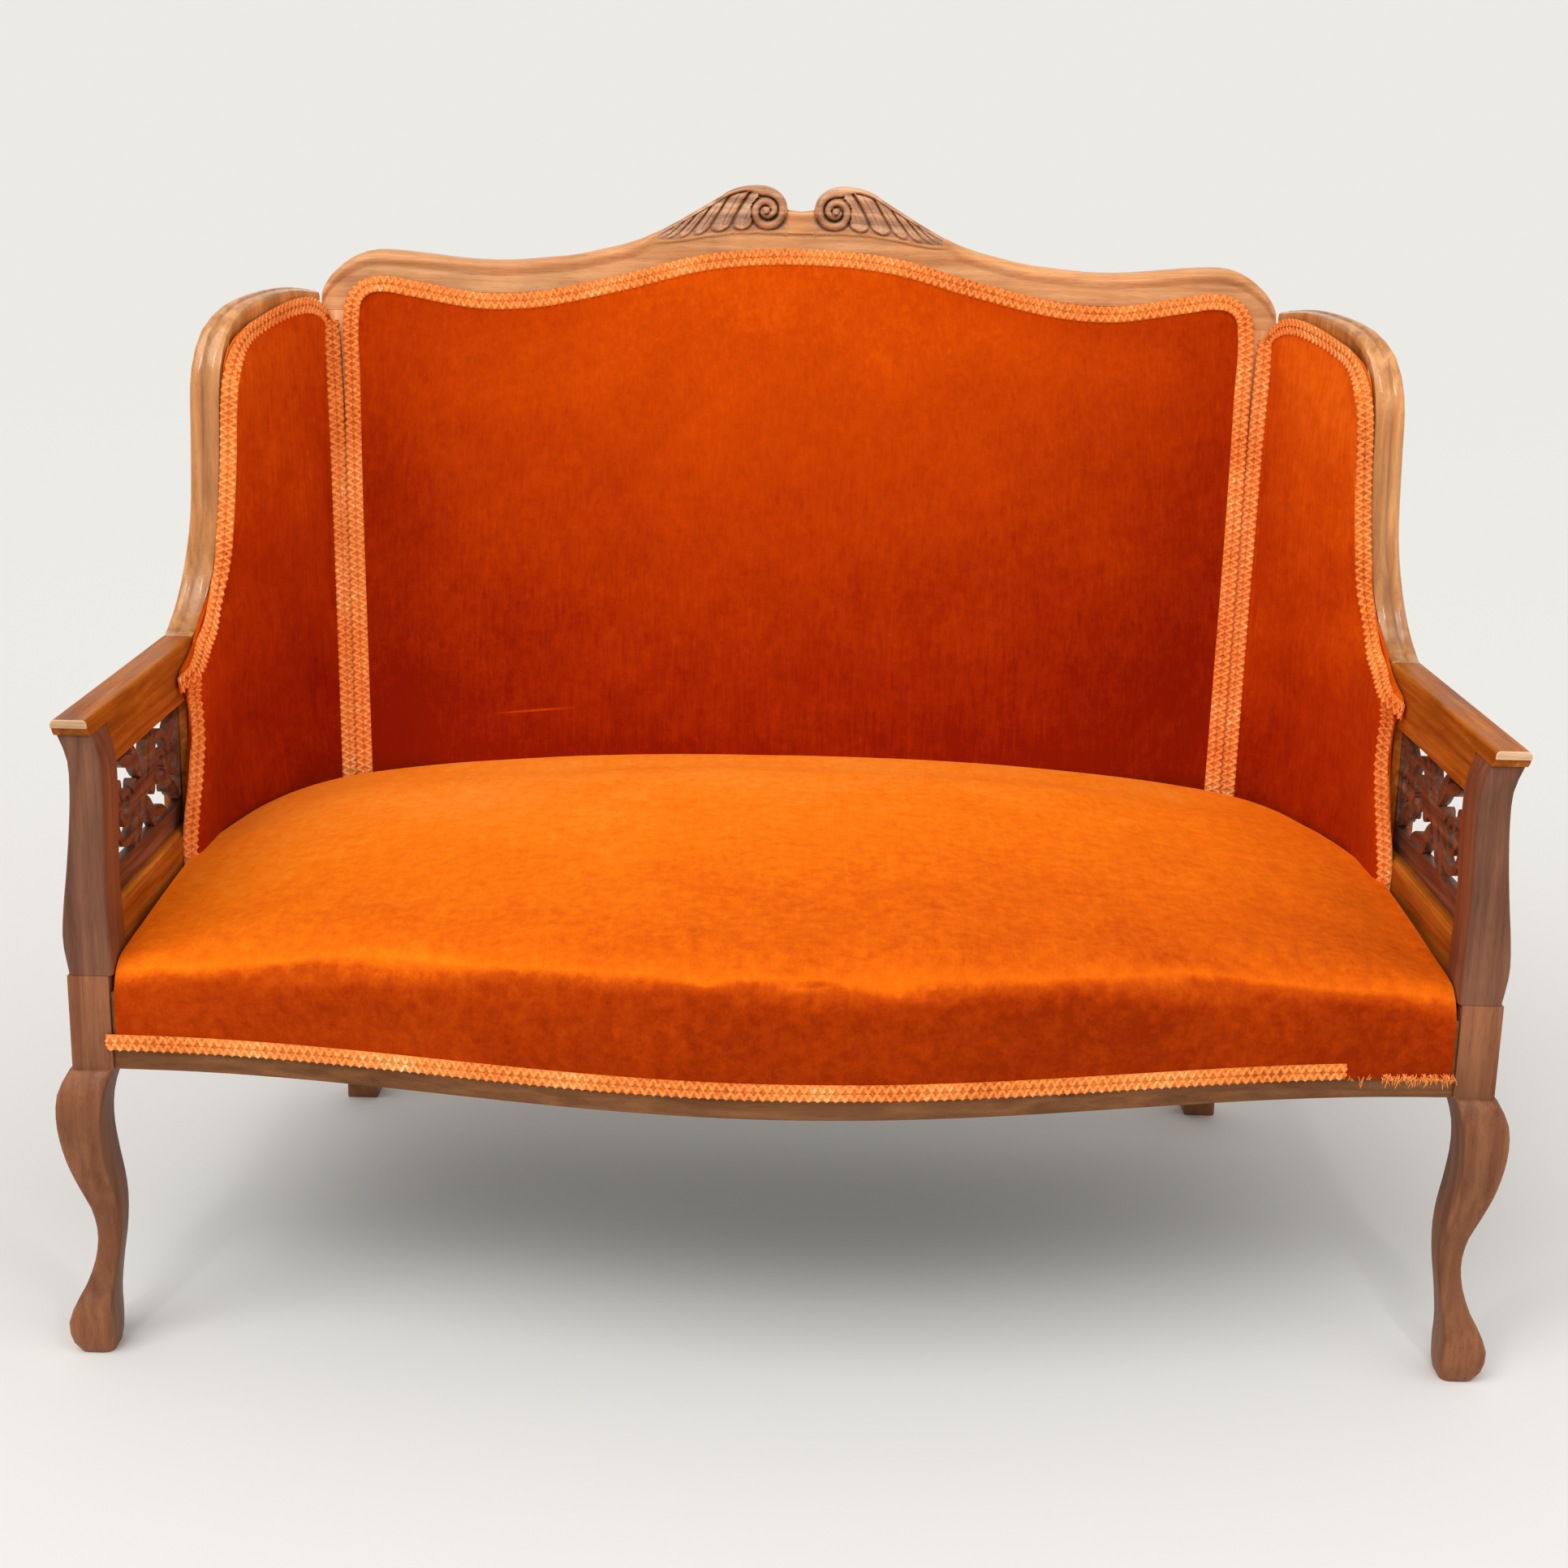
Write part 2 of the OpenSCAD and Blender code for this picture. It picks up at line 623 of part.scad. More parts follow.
module seat_pad() {
    half_n = 16;
    wall = 3;
    roll = 4;
    top = 9;
    floor_z = rail_top + 2 * clear + cloth_t;
    braid_z = leg_h + bare_wood;
    xs = [for (k = [half_n : -1 : -half_n]) let (s = k / half_n) seat_half * (1.5 * s - 0.5 * s ^ 3)];
    function face(x) = bow_y(x) - cover_t;
    function edge_z(x) = rail_top + seat_lift(x, seat_side - 12, seat_crown - 30);
    function rear_z(x) = rail_top + seat_lift(x, seat_side, seat_crown);
    function hump(x) = seat_lift(x, 3, 9);
    function outer(x) = concat(
        [for (k = [0 : wall]) let (t = k / wall)
            [x, face(x) - 2 * sin(150 * t), mix(braid_z, edge_z(x) - seat_roll, t)]],
        [for (k = [1 : roll]) let (a = 90 * k / roll)
            [x, face(x) - 1 + seat_roll * (1 - cos(a)), edge_z(x) - seat_roll * (1 - sin(a))]],
        [for (k = [1 : top]) let (t = k / top)
            [x, mix(face(x) - 1 + seat_roll, seat_rear(x, rear_z(x)), t),
             mix(edge_z(x), rear_z(x), ease(t * 0.75) / ease(0.75)) + hump(x) * 4 * t * (1 - t)]],
        [[x, seat_rear(x, floor_z + 6), floor_z + 6]]);
    function inner(x) = concat(
        [for (k = [0 : wall]) let (t = k / wall) [x, bow_y(x) - 3 * clear, mix(braid_z, floor_z, t)]],
        [for (k = [1 : roll + top + 1]) let (t = k / (roll + top + 1))
            [x, mix(bow_y(x) - 3 * clear, seat_rear(x, floor_z) - 1, t), floor_z]]);
    color("#E0561A") placed() sheet([for (x = xs) outer(x)], [for (x = xs) inner(x)]);
}

// Front face of the seat's cover where the braid lies on it
function braid_face(x) = min(bow_y(x) - cover_t - 2 * sin(150 * 0.16), -clear) - 3 * clear;

// Braid along the front rail, ending short of the right leg as on the real piece
module seat_braid() {
    steps = 44;
    x0 = block_in - 96;
    x1 = -block_in - 4;
    z0 = leg_h + bare_wood;
    xs = [for (k = [0 : steps]) mix(x0, x1, k / steps)];
    color("#F08A3C") placed() sheet(
        [for (x = xs) [for (q = [0, 0.5, 1])
            [x, braid_face(x) - braid_t * (q == 0.5 ? 1 : 0.7), z0 + q * braid_w]]],
        [for (x = xs) [for (q = [0, 0.5, 1]) [x, braid_face(x), z0 + q * braid_w]]]);
}

// Thickness of the inside back over its lining, at share s of the width and height z
pad_lift = 2 * web_t + cloth_t + 2 * clear;
function back_pad_t(x, z) = let (
    side = pad_half(z) - abs(x) - braid_w,
    up = pad_up(x / pad_half(z)) - z - braid_w,
    down = z - pad_z)
    2.5 + back_crown * ease(side / 130) * ease(up / 120) * mix(0.35, 1, ease(down / 170));

module back_pad() {
    half_n = 12;
    rows = 12;
    function x_at(s, v) = s * pad_half(mix(pad_z, pad_up(s), v));
    function z_at(s, v) = mix(pad_z, pad_up(s), v);
    // Closer stations at the braided borders
    ss = [for (k = [half_n : -1 : -half_n]) let (s = k / half_n) 1.4 * s - 0.4 * s ^ 3];
    vs = [for (k = [0 : rows]) let (v = k / rows) 1.35 * v - 0.35 * v ^ 3];
    color("#D24A12") placed() sheet(
        [for (s = ss) [for (v = vs) let (x = x_at(s, v), z = z_at(s, v))
            [x, back_y(z) - pad_lift - back_pad_t(x, z), z]]],
        [for (s = ss) [for (v = vs) let (x = x_at(s, v), z = z_at(s, v))
            [x, back_y(z) - pad_lift, z]]]);
}

// Braid round the inside back: up the left post, along the crest and down the right post
module back_braid() {
    up_n = 10;
    across = 44;
    corner = pad_half(joint_z);
    top_z = pad_up(0.985);
    function outer_at(k) = k < up_n
        ? let (z = mix(pad_z + 30, top_z - 25, k / up_n)) [-pad_half(z), z]
        : k > up_n + across
            ? let (z = mix(top_z - 25, pad_z + 30, (k - up_n - across) / up_n)) [pad_half(z), z]
            : let (s = mix(-1, 1, (k - up_n) / across), e = sign(s) * (1 - (1 - abs(s)) ^ 1.25))
                [e * corner, pad_up(e)];
    function inner_at(k) = k < up_n
        ? let (z = mix(pad_z + 30, top_z - 25, k / up_n)) [braid_w - pad_half(z), z]
        : k > up_n + across
            ? let (z = mix(top_z - 25, pad_z + 30, (k - up_n - across) / up_n)) [pad_half(z) - braid_w, z]
            : let (s = mix(-1, 1, (k - up_n) / across), e = sign(s) * (1 - (1 - abs(s)) ^ 1.25),
                   near = 1 - braid_w / corner)
                [e * near * corner, min(pad_up(e * near) - braid_w, pad_up(e * near) - braid_w)];
    function lay(p, up) = [p[0], back_y(p[1]) - pad_lift - back_pad_t(p[0], p[1]) - 0.8 - up, p[1]];
    ks = [2 * up_n + across : -1 : 0];
    color("#F08A3C") placed() sheet(
        [for (k = ks) [lay(inner_at(k), 0.7 * braid_t), lay((inner_at(k) + outer_at(k)) / 2, braid_t),
            lay(outer_at(k), 0.7 * braid_t)]],
        [for (k = ks) [lay(inner_at(k), 0), lay((inner_at(k) + outer_at(k)) / 2, 0),
            lay(outer_at(k), 0)]]);
}

// Wing show moulding, from the arm up and over to the crest: position along the wing,
// then shares of the way from arm to back post in X, Y and Z, depth and rebate
wing_path = [
    [0.0, [0.00, 0.00, 0.000, arm_h, 0.0]],
    [0.5, [0.00, 0.14, 0.004, arm_h - 4, 0.0]],
    [1.0, [0.01, 0.36, 0.028, arm_h - 12, 0.0]],
    [1.7, [0.05, 0.65, 0.085, wing_d + 8, 0.0]],
    [2.5, [0.12, 0.85, 0.190, wing_d + 2, 0.3]],
    [3.5, [0.19, 0.95, 0.340, wing_d, 0.9]],
    [5.0, [0.22, 1.00, 0.570, wing_d, 1.0]],
    [6.2, [0.24, 1.05, 0.760, wing_d, 0.4]],
    [7.0, [0.31, 1.28, 0.885, wing_d, 0.0]],
    [7.7, [0.45, 1.75, 0.958, wing_d - 2, 0.0]],
    [8.5, [0.64, 2.37, 0.990, wing_d - 4, 0.0]],
    [9.5, [0.85, 3.08, 1.000, wing_d - 10, 0.0]],
    [10.5, [1.00, 3.95, 0.985, wing_d - 13, 0.0]]];
function wing_at(s) = let (v = line(wing_path, s), run = wing_y - arm_len,
    rear = (back_y(wing_z) - 8 - wing_y) / 2.95,
    y = v[1] <= 1 ? arm_len + run * v[1] : wing_y + rear * (v[1] - 1))
    [mix(arm_x, crest_half + clear + wing_end_w / 2, v[0]), y, mix(arm_z, wing_z, v[2])];
function wing_width(s) = mix(arm_w, wing_end_w, ease((s - 6) / 4));

module wing_frame(side) {
    rings = 30;
    color("#95552A") placed(side) skin([for (i = [rings : -1 : 0])
        let (s = 10.5 * i / rings, e = 0.05, v = line(wing_path, s),
             c = wing_at(s), w = wing_width(s) / 2, d = v[3], b = rebate_w * v[4],
             t = i == 0 ? [0, 1, 0] : unit(wing_at(min(10.5, s + e)) - wing_at(s - e)),
             turn = 24 * ease((s - 6) / 3), out = [cos(turn), sin(turn), 0],
             side_v = unit(out - (out * t) * t), up = cross(side_v, t), g = min(1, s))
            [for (p = [
                [w, -d],
                [w, -5],
                [w - 1.5, -1.5],
                [w - 5, 0],
                [0.28 * w, -0.4 * g],
                [0.12 * w, -2.6 * g],
                [-0.02 * w, -1.6 * g],
                [-0.55 * w, -1.4 * g],
                [-0.9 * w, -3 * g],
                [-w, -5 - 2 * g],
                [-w, -8 - g],
                [-w - b, -8 - g],
                [-w - b, -d]])
                c + p[0] * side_v + p[1] * up]]);
}

// Velvet surface inside a wing. Its front edge, by height, in X and Y
// Inward shift grows a little faster than the spread, as the moulding turns its width inward
lean_in = (spread / 87.2) ^ 1.1;
function share_z(z) = z < arm_z ? (z - pad_z) / (arm_z - pad_z) : 1 + (z - arm_z) / (wing_z - arm_z);
wing_front_line = [
    [0.00, [0, -55]], [0.20, [0, -52]], [0.46, [0, -37]], [0.68, [0, -22]], [0.81, [0, -28]],
    [0.875, [0, -48]], [0.94, [0, -33]], [1.01, [0, -10]], [1.08, [1, 33]], [1.15, [4, 48.5]],
    [1.24, [9, 56.5]], [1.43, [14.5, 60.5]], [1.62, [17.5, 63]], [1.78, [20.5, 66]], [1.884, [26, 84]],
    [1.937, [36, 108]], [2.00, [46, 132]]];
function wing_front(z) = let (v = line(wing_front_line, share_z(z)))
    [side_in - lip_t - clear - v[0] * lean_in, arm_len + v[1] * (wing_y - arm_len) / 62];
// Thickness of a pad's edge under the braid
lip_t = 2.5;
// Direction in which the front braid lies: along the arm low down, across the moulding above
function lip_turn(z) = ease((z - arm_z + 10) / 110);
function lip_back(z) = ease((z - wing_z + 93) / 50);
function wing_surf(a, z) = let (
    f = wing_front(z), m = lip_turn(z), lip = 2 / wing_cols,
    front_lip = braid_w * mix([mix(-0.12, -1, m), mix(0.99, -0.05, m)], [-0.5, 0.85], lip_back(z)),
    f1 = f + front_lip,
    r0 = [post_out(z) + 3 - 4 * lip_back(z), back_y(z) - 4],
    r1 = [post_x(z) + 4, back_y(z) - 3.2],
    low = 1 - ease((z - rail_top - 90) / 240),
    q1 = f1 + [mix(-0.085, -0.038, low) * low_run, mix(0.30, 0.38, low) * (r0[1] - f1[1])],
    q2 = r0 + [mix(0.075 - 0.038 * lip_back(z), 0.4, low) * low_run,
               mix(-0.36, -0.10, low) * (r0[1] - f1[1])],
    p = a < lip ? mix(f, f1, a / lip)
        : a > 1 - lip ? mix(r0, r1, (a - 1 + lip) / lip)
        : bez(f1, q1, q2, r0, (a - lip) / (1 - 2 * lip)))
    [p[0], p[1], z];
function wing_normal(a, z) = let (e = 0.02,
    d = wing_surf(min(1, a + e), z) - wing_surf(max(0, a - e), z))
    unit([-d[1], d[0], 0]) * -1;
wing_top_line = [[0, -58], [0.06, -46], [0.14, -34], [0.26, -22], [0.40, -14], [0.55, -11], [0.70, -14],
    [0.84, -24], [0.93, -36], [1, -50]];
function wing_up(a) = wing_z + line(wing_top_line, a);
function wing_pad_t(a, z) = let (up = wing_up(a) - z - braid_w)
    lip_t + wing_crown * ease(a / 0.4 - 0.5) * ease((1 - a) / 0.35 - 0.3) * ease(up / 60);

// Grid of the wing's velvet: columns from the front edge to the back, rows from the foot up,
// with the last row of the way under the braid
wing_cols = 14;
wing_rows = 17;
function wing_node(k, i) = let (a = k / wing_cols, top = wing_up(a))
    [a, i == wing_rows ? top : mix(pad_z, top - braid_w, i / (wing_rows - 1))];

module wing_pad(side) {
    function at(k, i, t) = let (p = wing_node(k, i))
        wing_surf(p[0], p[1]) + t * wing_pad_t(p[0], p[1]) * wing_normal(p[0], p[1]);
    color("#C8440F") placed(side) sheet(
        [for (k = [0 : wing_cols]) [for (i = [0 : wing_rows]) at(k, i, 0)]],
        [for (k = [0 : wing_cols]) [for (i = [0 : wing_rows]) at(k, i, 1)]]);
}

// Braid round a wing: up the front edge, over the top and down beside the back post
module wing_braid(side) {
    n = wing_rows;
    w = 2;
    last = wing_cols;
    // Outer, then inner grid point of each station
    pairs = concat(
        [for (i = [1 : n - 1]) [[0, i], [w, i]]],
        [[[0, n], [w, n - 1]]],
        [for (k = [w : last - w]) [[k, n], [k, n - 1]]],
        [[[last, n], [last - w, n - 1]]],
        [for (i = [n - 1 : -1 : 1]) [[last, i], [last - w, i]]]);
    function lay(q, up) = let (p = wing_node(q[0], q[1]))
        wing_surf(p[0], p[1]) - (2 * clear + up) * wing_normal(p[0], p[1]);
    function cross_line(q, edge, crown) = let (o = lay(q[0], edge), i = lay(q[1], edge),
        m = q[0][0] == q[1][0] || q[0][1] != q[1][1]
            ? (lay(q[0], crown) + lay(q[1], crown)) / 2 : lay((q[0] + q[1]) / 2, crown))
        [o, m, i];
    color("#F08A3C") placed(side) sheet(
        [for (q = pairs) cross_line(q, 0, 0)],
        [for (q = pairs) cross_line(q, 0.7 * braid_t, braid_t)]);
}

// Covering outside a wing, stretched over the rails, up behind the moulding and round the
// rear corner of the back post. Its front edge, by height, inward and backward
out_front_line = [[0.00, [0, 4]], [0.50, [0, 4]], [0.74, [0, 6]], [0.80, [0, 22]], [0.88, [0, 44]],
    [0.95, [0, 60]], [1.08, [5, 80]], [1.18, [12, 91]], [1.31, [18, 92]], [1.54, [20, 93]],
    [1.81, [24, 99]], [1.93, [33, 112]], [2.00, [45, 122]]];
function out_surf(a, z, skin_t) = let (
    v = line(out_front_line, share_z(max(z, pad_z))),
    high = ease((z - fret_top) / (wing_z - fret_top - 60)),
    f = [mix(side_x, arm_out - back_t / 2, ease((z - rail_top - 80) / 60)) - v[0] * spread / 87.2,
        arm_len + v[1] * (wing_y - arm_len + wing_d) / 90],
    r = [post_x(z) + post_half + clear + stile_out * ease((z - leg_h) / (pad_z - leg_h)),
        back_y(max(z, leg_h + rail_h / 2)) + back_t / 2],
    swell = wing_swell * sin(180 * a) * ease((z - rail_top) / 150) * (1 - 0.5 * high),
    p = turn_edge(f, r, high, back_t / 2 + clear + swell + skin_t, a))
    a > 1 ? [post_x(z) + post_half - 2,
             back_y(max(z, leg_h + rail_h / 2)) + back_t + 2 * clear + skin_t, z]
        : [p[0], p[1], z];

module outside_wing(side) {
    cols = 10;
    rows = 12;
    low = leg_h + 4;
    function up(a) = wing_z - wing_d - 62 + 62 * ease(a / 0.45);
    function grid(skin_t) = [for (k = [0 : cols]) let (a = k == 0 ? 1.1 : 1 - (k - 1) / (cols - 1))
        [for (i = [0 : rows]) out_surf(a, mix(low, up(min(1, a)), i / rows), skin_t)]];
    color("#B8400F") placed(side) sheet(grid(cover_t - 1), grid(0));
}

// Velvet across the rear of the back frame
module outside_back() {
    steps = 24;
    low = leg_h + 4;
    inset = 4;
    drop = 34;
    half = post_gap / 2 + post_half - inset;
    top_half = post_x(joint_z) + post_half - inset;
    rise = 1 / cos(back_rake);
    function up(x) = (crest_up(x) - drop - low) * rise;
    color("#B8400F") placed() back_board(low, 2, back_t / rise + clear) polygon(concat(
        [[-half, (pad_z - low) * rise], [-half, 0], [half, 0], [half, (pad_z - low) * rise]],
        [for (k = [steps : -1 : -steps]) let (x = top_half * k / steps) [x, up(x)]]));
}

module seat_web_cross(x) {
    y0 = bow_y(x) + 8;
    translate([x - web_w / 2, y0, leg_h - web_t]) cube([web_w, back_y(leg_h) + back_t / 2 - y0, web_t]);
}

module seat_webbing() {
    color("#B49A6A") placed() {
        for (k = [-2 : 2]) seat_web_cross(k * spring_dx);
        for (y = spring_rows)
            translate([-side_x, y - web_w / 2, leg_h - 2 * web_t]) cube([2 * side_x, web_w, web_t]);
    }
}

// Springs stand on the crossings of the webbing
spring_dx = post_in * 0.442;
spring_rows = [seat_d * 0.30, seat_d * 0.72];

spring_turns = 3;
spring_seg = 8;
spring_count = spring_turns * spring_seg;
// Centre line of a spring that stands on the origin, narrow in the middle
function wire_at(i) = let (t = i / spring_count, a = 360 * i / spring_seg,
    h = rail_top - leg_h - wire_d - clear, r = mix(waist_r, spring_r, abs(2 * t - 1) ^ 1.5))
    [r * cos(a), r * sin(a), leg_h + clear + wire_d / 2 + h * t];

module seat_springs() {
    half_turn = spring_seg / 2;
    echo(least_gap_between_turns = min([for (i = [0 : spring_count - half_turn],
        j = [i + half_turn : spring_count]) norm(wire_at(j) - wire_at(i))]) - wire_d);
    color("#8C8478") placed()
        for (k = [-2 : 2], y = spring_rows)
            translate([k * spring_dx, y, 0]) skin([for (i = [0 : spring_count])
                let (a = 360 * i / spring_seg, u = [cos(a), sin(a), 0])
                    [for (k = [0 : 4]) let (b = -72 * k)
                        wire_at(i) + wire_d / 2 * (cos(b) * u + sin(b) * [0, 0, 1])]]);
}

// Hessian over the springs, laid on the rails
module seat_hessian() {
    steps = 32;
    half = block_in - 1;
    edge = 6;
    color("#A88B58") placed() translate([0, 0, rail_top + clear]) linear_extrude(cloth_t) polygon(concat(
        [for (k = [-steps : steps]) let (x = half * k / steps) [x, bow_y(x) + edge]],
        [[half, arm_len], [half - 18, arm_len + 90], [half - 60, arm_len + 145],
         [post_gap / 2 - post_half - 2, back_y(rail_top) - 3],
         [post_gap / 2 - post_half - 2, back_y(rail_top) + edge],
         [2 + post_half - post_gap / 2, back_y(rail_top) + edge],
         [2 + post_half - post_gap / 2, back_y(rail_top) - 3],
         [60 - half, arm_len + 145], [18 - half, arm_len + 90], [-half, arm_len]]));
}

// Dust cover under the seat
module bottom_cloth() {
    steps = 32;
    half = block_in - 6;
    inner = post_gap / 2 - post_half - 1;
    z = leg_h - 2 * web_t - clear - cloth_t;
    color("#2A2420") placed() translate([0, 0, z]) linear_extrude(cloth_t) polygon(concat(
        [for (k = [-steps : steps]) let (x = half * k / steps) [x, bow_y(x) + 12]],
        [[half, arm_len + 20], [half - 40, arm_len + 110], [inner, back_y(leg_h) - 1],
         [inner, back_y(leg_h) + 8], [-inner, back_y(leg_h) + 8], [-inner, back_y(leg_h) - 1],
         [40 - half, arm_len + 110], [-half, arm_len + 20]]));
}

module back_webbing() {
    low = pad_z + 6;
    rise = 1 / cos(back_rake);
    color("#B49A6A") placed() {
        for (k = [-2 : 2]) {
            x = k * post_gap / 6;
            len_z = (crest_low(x) + 14 - low) * rise;
            on_back(low) translate([x - web_w / 2, -web_t, 0]) cube([web_w, web_t, len_z]);
        }
        for (t = [0.3, 0.6, 0.9])
            let (z = mix(low, joint_z, t), half = post_x(z) - 8)
                on_back(z) translate([-half, -2 * web_t, -web_w]) cube([2 * half, web_t, web_w]);
    }
}

module back_hessian() {
    steps = 24;
    low = pad_z + 4;
    half = post_x(pad_z) - 10;
    rise = 1 / cos(back_rake);
    top_half = post_x(joint_z) - 14;
    color("#A88B58") placed() back_board(low, cloth_t, -2 * web_t - cloth_t) polygon(concat(
        [[-half, 0], [half, 0]],
        [for (k = [steps : -1 : -steps]) let (s = k / steps)
            [top_half * s, (pad_up(s * 0.95) - 8 - low) * rise]]));
}

// Glue blocks in the corners of the seat frame
module glue_block_front(side) {
    h = rail_h - 20;
    color("#8A6A44") placed(side) translate([0, 0, leg_h + 10]) linear_extrude(h) polygon([
        [block_in - clear, block_d + clear],
        [side_in - clear, block_d + clear],
        [side_in - clear, block_d + glue_block],
        for (k = [0 : 4])
            let (x = mix(block_in - glue_block, block_in - clear, k / 4)) [x, bow_y(x) + rail_t + clear]]);
}

module glue_block_back(side) {
    h = rail_h - 20;
    inner = post_gap / 2 - post_half;
    y = back_y(leg_h + 10);
    color("#8A6A44") placed(side) translate([0, 0, leg_h + 10]) linear_extrude(h) polygon([
        [inner - glue_block, y],
        [inner + 8, y],
        [inner + 8, y - glue_block * 0.6]]);
}

front_leg(-1);  // front_leg_left
front_leg(1);  // front_leg_right
back_post(-1);  // back_post_left
back_post(1);  // back_post_right
front_seat_rail();
back_seat_rail();
side_seat_rail(-1);  // side_seat_rail_left
side_seat_rail(1);  // side_seat_rail_right
glue_block_front(-1);  // glue_block_front_left
glue_block_front(1);  // glue_block_front_right
glue_block_back(-1);  // glue_block_back_left
glue_block_back(1);  // glue_block_back_right
arm_post(-1);  // arm_post_left
arm_post(1);  // arm_post_right
arm_rail(-1);  // arm_rail_left
arm_rail(1);  // arm_rail_right
panel_rail(-1);  // panel_rail_left
panel_rail(1);  // panel_rail_right
arm_stile(-1);  // arm_stile_left
arm_stile(1);  // arm_stile_right
fretwork(-1);  // fretwork_left
fretwork(1);  // fretwork_right
wing_rail(-1);  // wing_rail_left
wing_rail(1);  // wing_rail_right
wing_stile(-1);  // wing_stile_left
wing_stile(1);  // wing_stile_right
wing_frame(-1);  // wing_frame_left
wing_frame(1);  // wing_frame_right
back_tack_rail();
crest_rail();
seat_webbing();
seat_springs();
seat_hessian();
seat_pad();
seat_braid();
bottom_cloth();
back_webbing();
back_hessian();
back_pad();
back_braid();
outside_back();
wing_pad(-1);  // wing_pad_left
wing_pad(1);  // wing_pad_right
wing_braid(-1);  // wing_braid_left
wing_braid(1);  // wing_braid_right
outside_wing(-1);  // outside_wing_left
outside_wing(1);  // outside_wing_right
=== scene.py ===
import math
import random
import bpy
import bmesh
import numpy as np
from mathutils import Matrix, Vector, noise
from mathutils.bvhtree import BVHTree


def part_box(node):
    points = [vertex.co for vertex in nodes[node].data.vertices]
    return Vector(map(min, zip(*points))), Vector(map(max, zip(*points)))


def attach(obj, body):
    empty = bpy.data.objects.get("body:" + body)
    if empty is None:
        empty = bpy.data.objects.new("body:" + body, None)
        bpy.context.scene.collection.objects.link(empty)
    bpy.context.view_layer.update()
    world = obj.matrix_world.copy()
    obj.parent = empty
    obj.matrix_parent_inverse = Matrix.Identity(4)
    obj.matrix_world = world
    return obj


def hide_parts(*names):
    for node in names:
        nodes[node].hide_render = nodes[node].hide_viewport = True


# A two-seat parlour settee: stained beech show frame, carved crest, pierced panels under the arms,
# and a stuffed seat, back and wings in orange cotton velvet edged with gimp braid.
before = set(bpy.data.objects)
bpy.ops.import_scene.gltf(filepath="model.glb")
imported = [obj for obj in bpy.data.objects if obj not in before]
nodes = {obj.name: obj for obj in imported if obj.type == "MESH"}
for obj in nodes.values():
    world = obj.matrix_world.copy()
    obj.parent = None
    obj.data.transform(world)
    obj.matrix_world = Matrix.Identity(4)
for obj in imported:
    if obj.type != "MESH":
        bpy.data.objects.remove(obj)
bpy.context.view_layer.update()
scene = bpy.context.scene

# Camera: a hand-held view from the front, 1.03 m above the floor and 2.2 m from the middle of the
# seat, looking a little down. Its focal length is 2900 px of a picture 1932 px wide.
image_w, focal_px = 1932, 2900
camera = bpy.data.objects.new("camera", bpy.data.cameras.new("camera"))
scene.collection.objects.link(camera)
camera.data.sensor_width = 36
camera.data.lens = focal_px / image_w * camera.data.sensor_width
camera.location = (-0.0076, -2.1637, 1.030)
camera.rotation_euler = [math.radians(a) for a in (75.098, -1.223, 0.258)]
scene.camera = camera


# Front legs: cabriole legs of beech, bandsawn from the square and shaped by hand, with the block left
# at the top for the rails. The close-grained wood is stained reddish brown and has gone dull.
def linear(code):
    """sRGB hex colour as linear RGBA"""
    parts = [int(code[i:i + 2], 16) / 255 for i in (1, 3, 5)]
    return [c / 12.92 if c <= 0.04045 else ((c + 0.055) / 1.055) ** 2.4 for c in parts] + [1.0]


def add(tree, kind, settings=None, links=None):
    """Adds one shader node with its settings and its incoming links"""
    made = tree.nodes.new("ShaderNode" + kind)
    for key, value in (settings or {}).items():
        if key == "stops":
            while len(made.color_ramp.elements) < len(value):
                made.color_ramp.elements.new(0.5)
            for element, (spot, code) in zip(made.color_ramp.elements, value):
                element.position, element.color = spot, linear(code)
        elif isinstance(key, str) and hasattr(made, key):
            setattr(made, key, value)
        else:
            made.inputs[key].default_value = value
    for key, source in (links or {}).items():
        tree.links.new(source.outputs[0] if hasattr(source, "outputs") else source, made.inputs[key])
    return made


def new_material(name):
    """Empty material with its output, ready for a shader"""
    made = bpy.data.materials.new(name)
    made.use_nodes = True
    made.node_tree.nodes.clear()
    return made, made.node_tree, made.node_tree.nodes.new("ShaderNodeOutputMaterial")


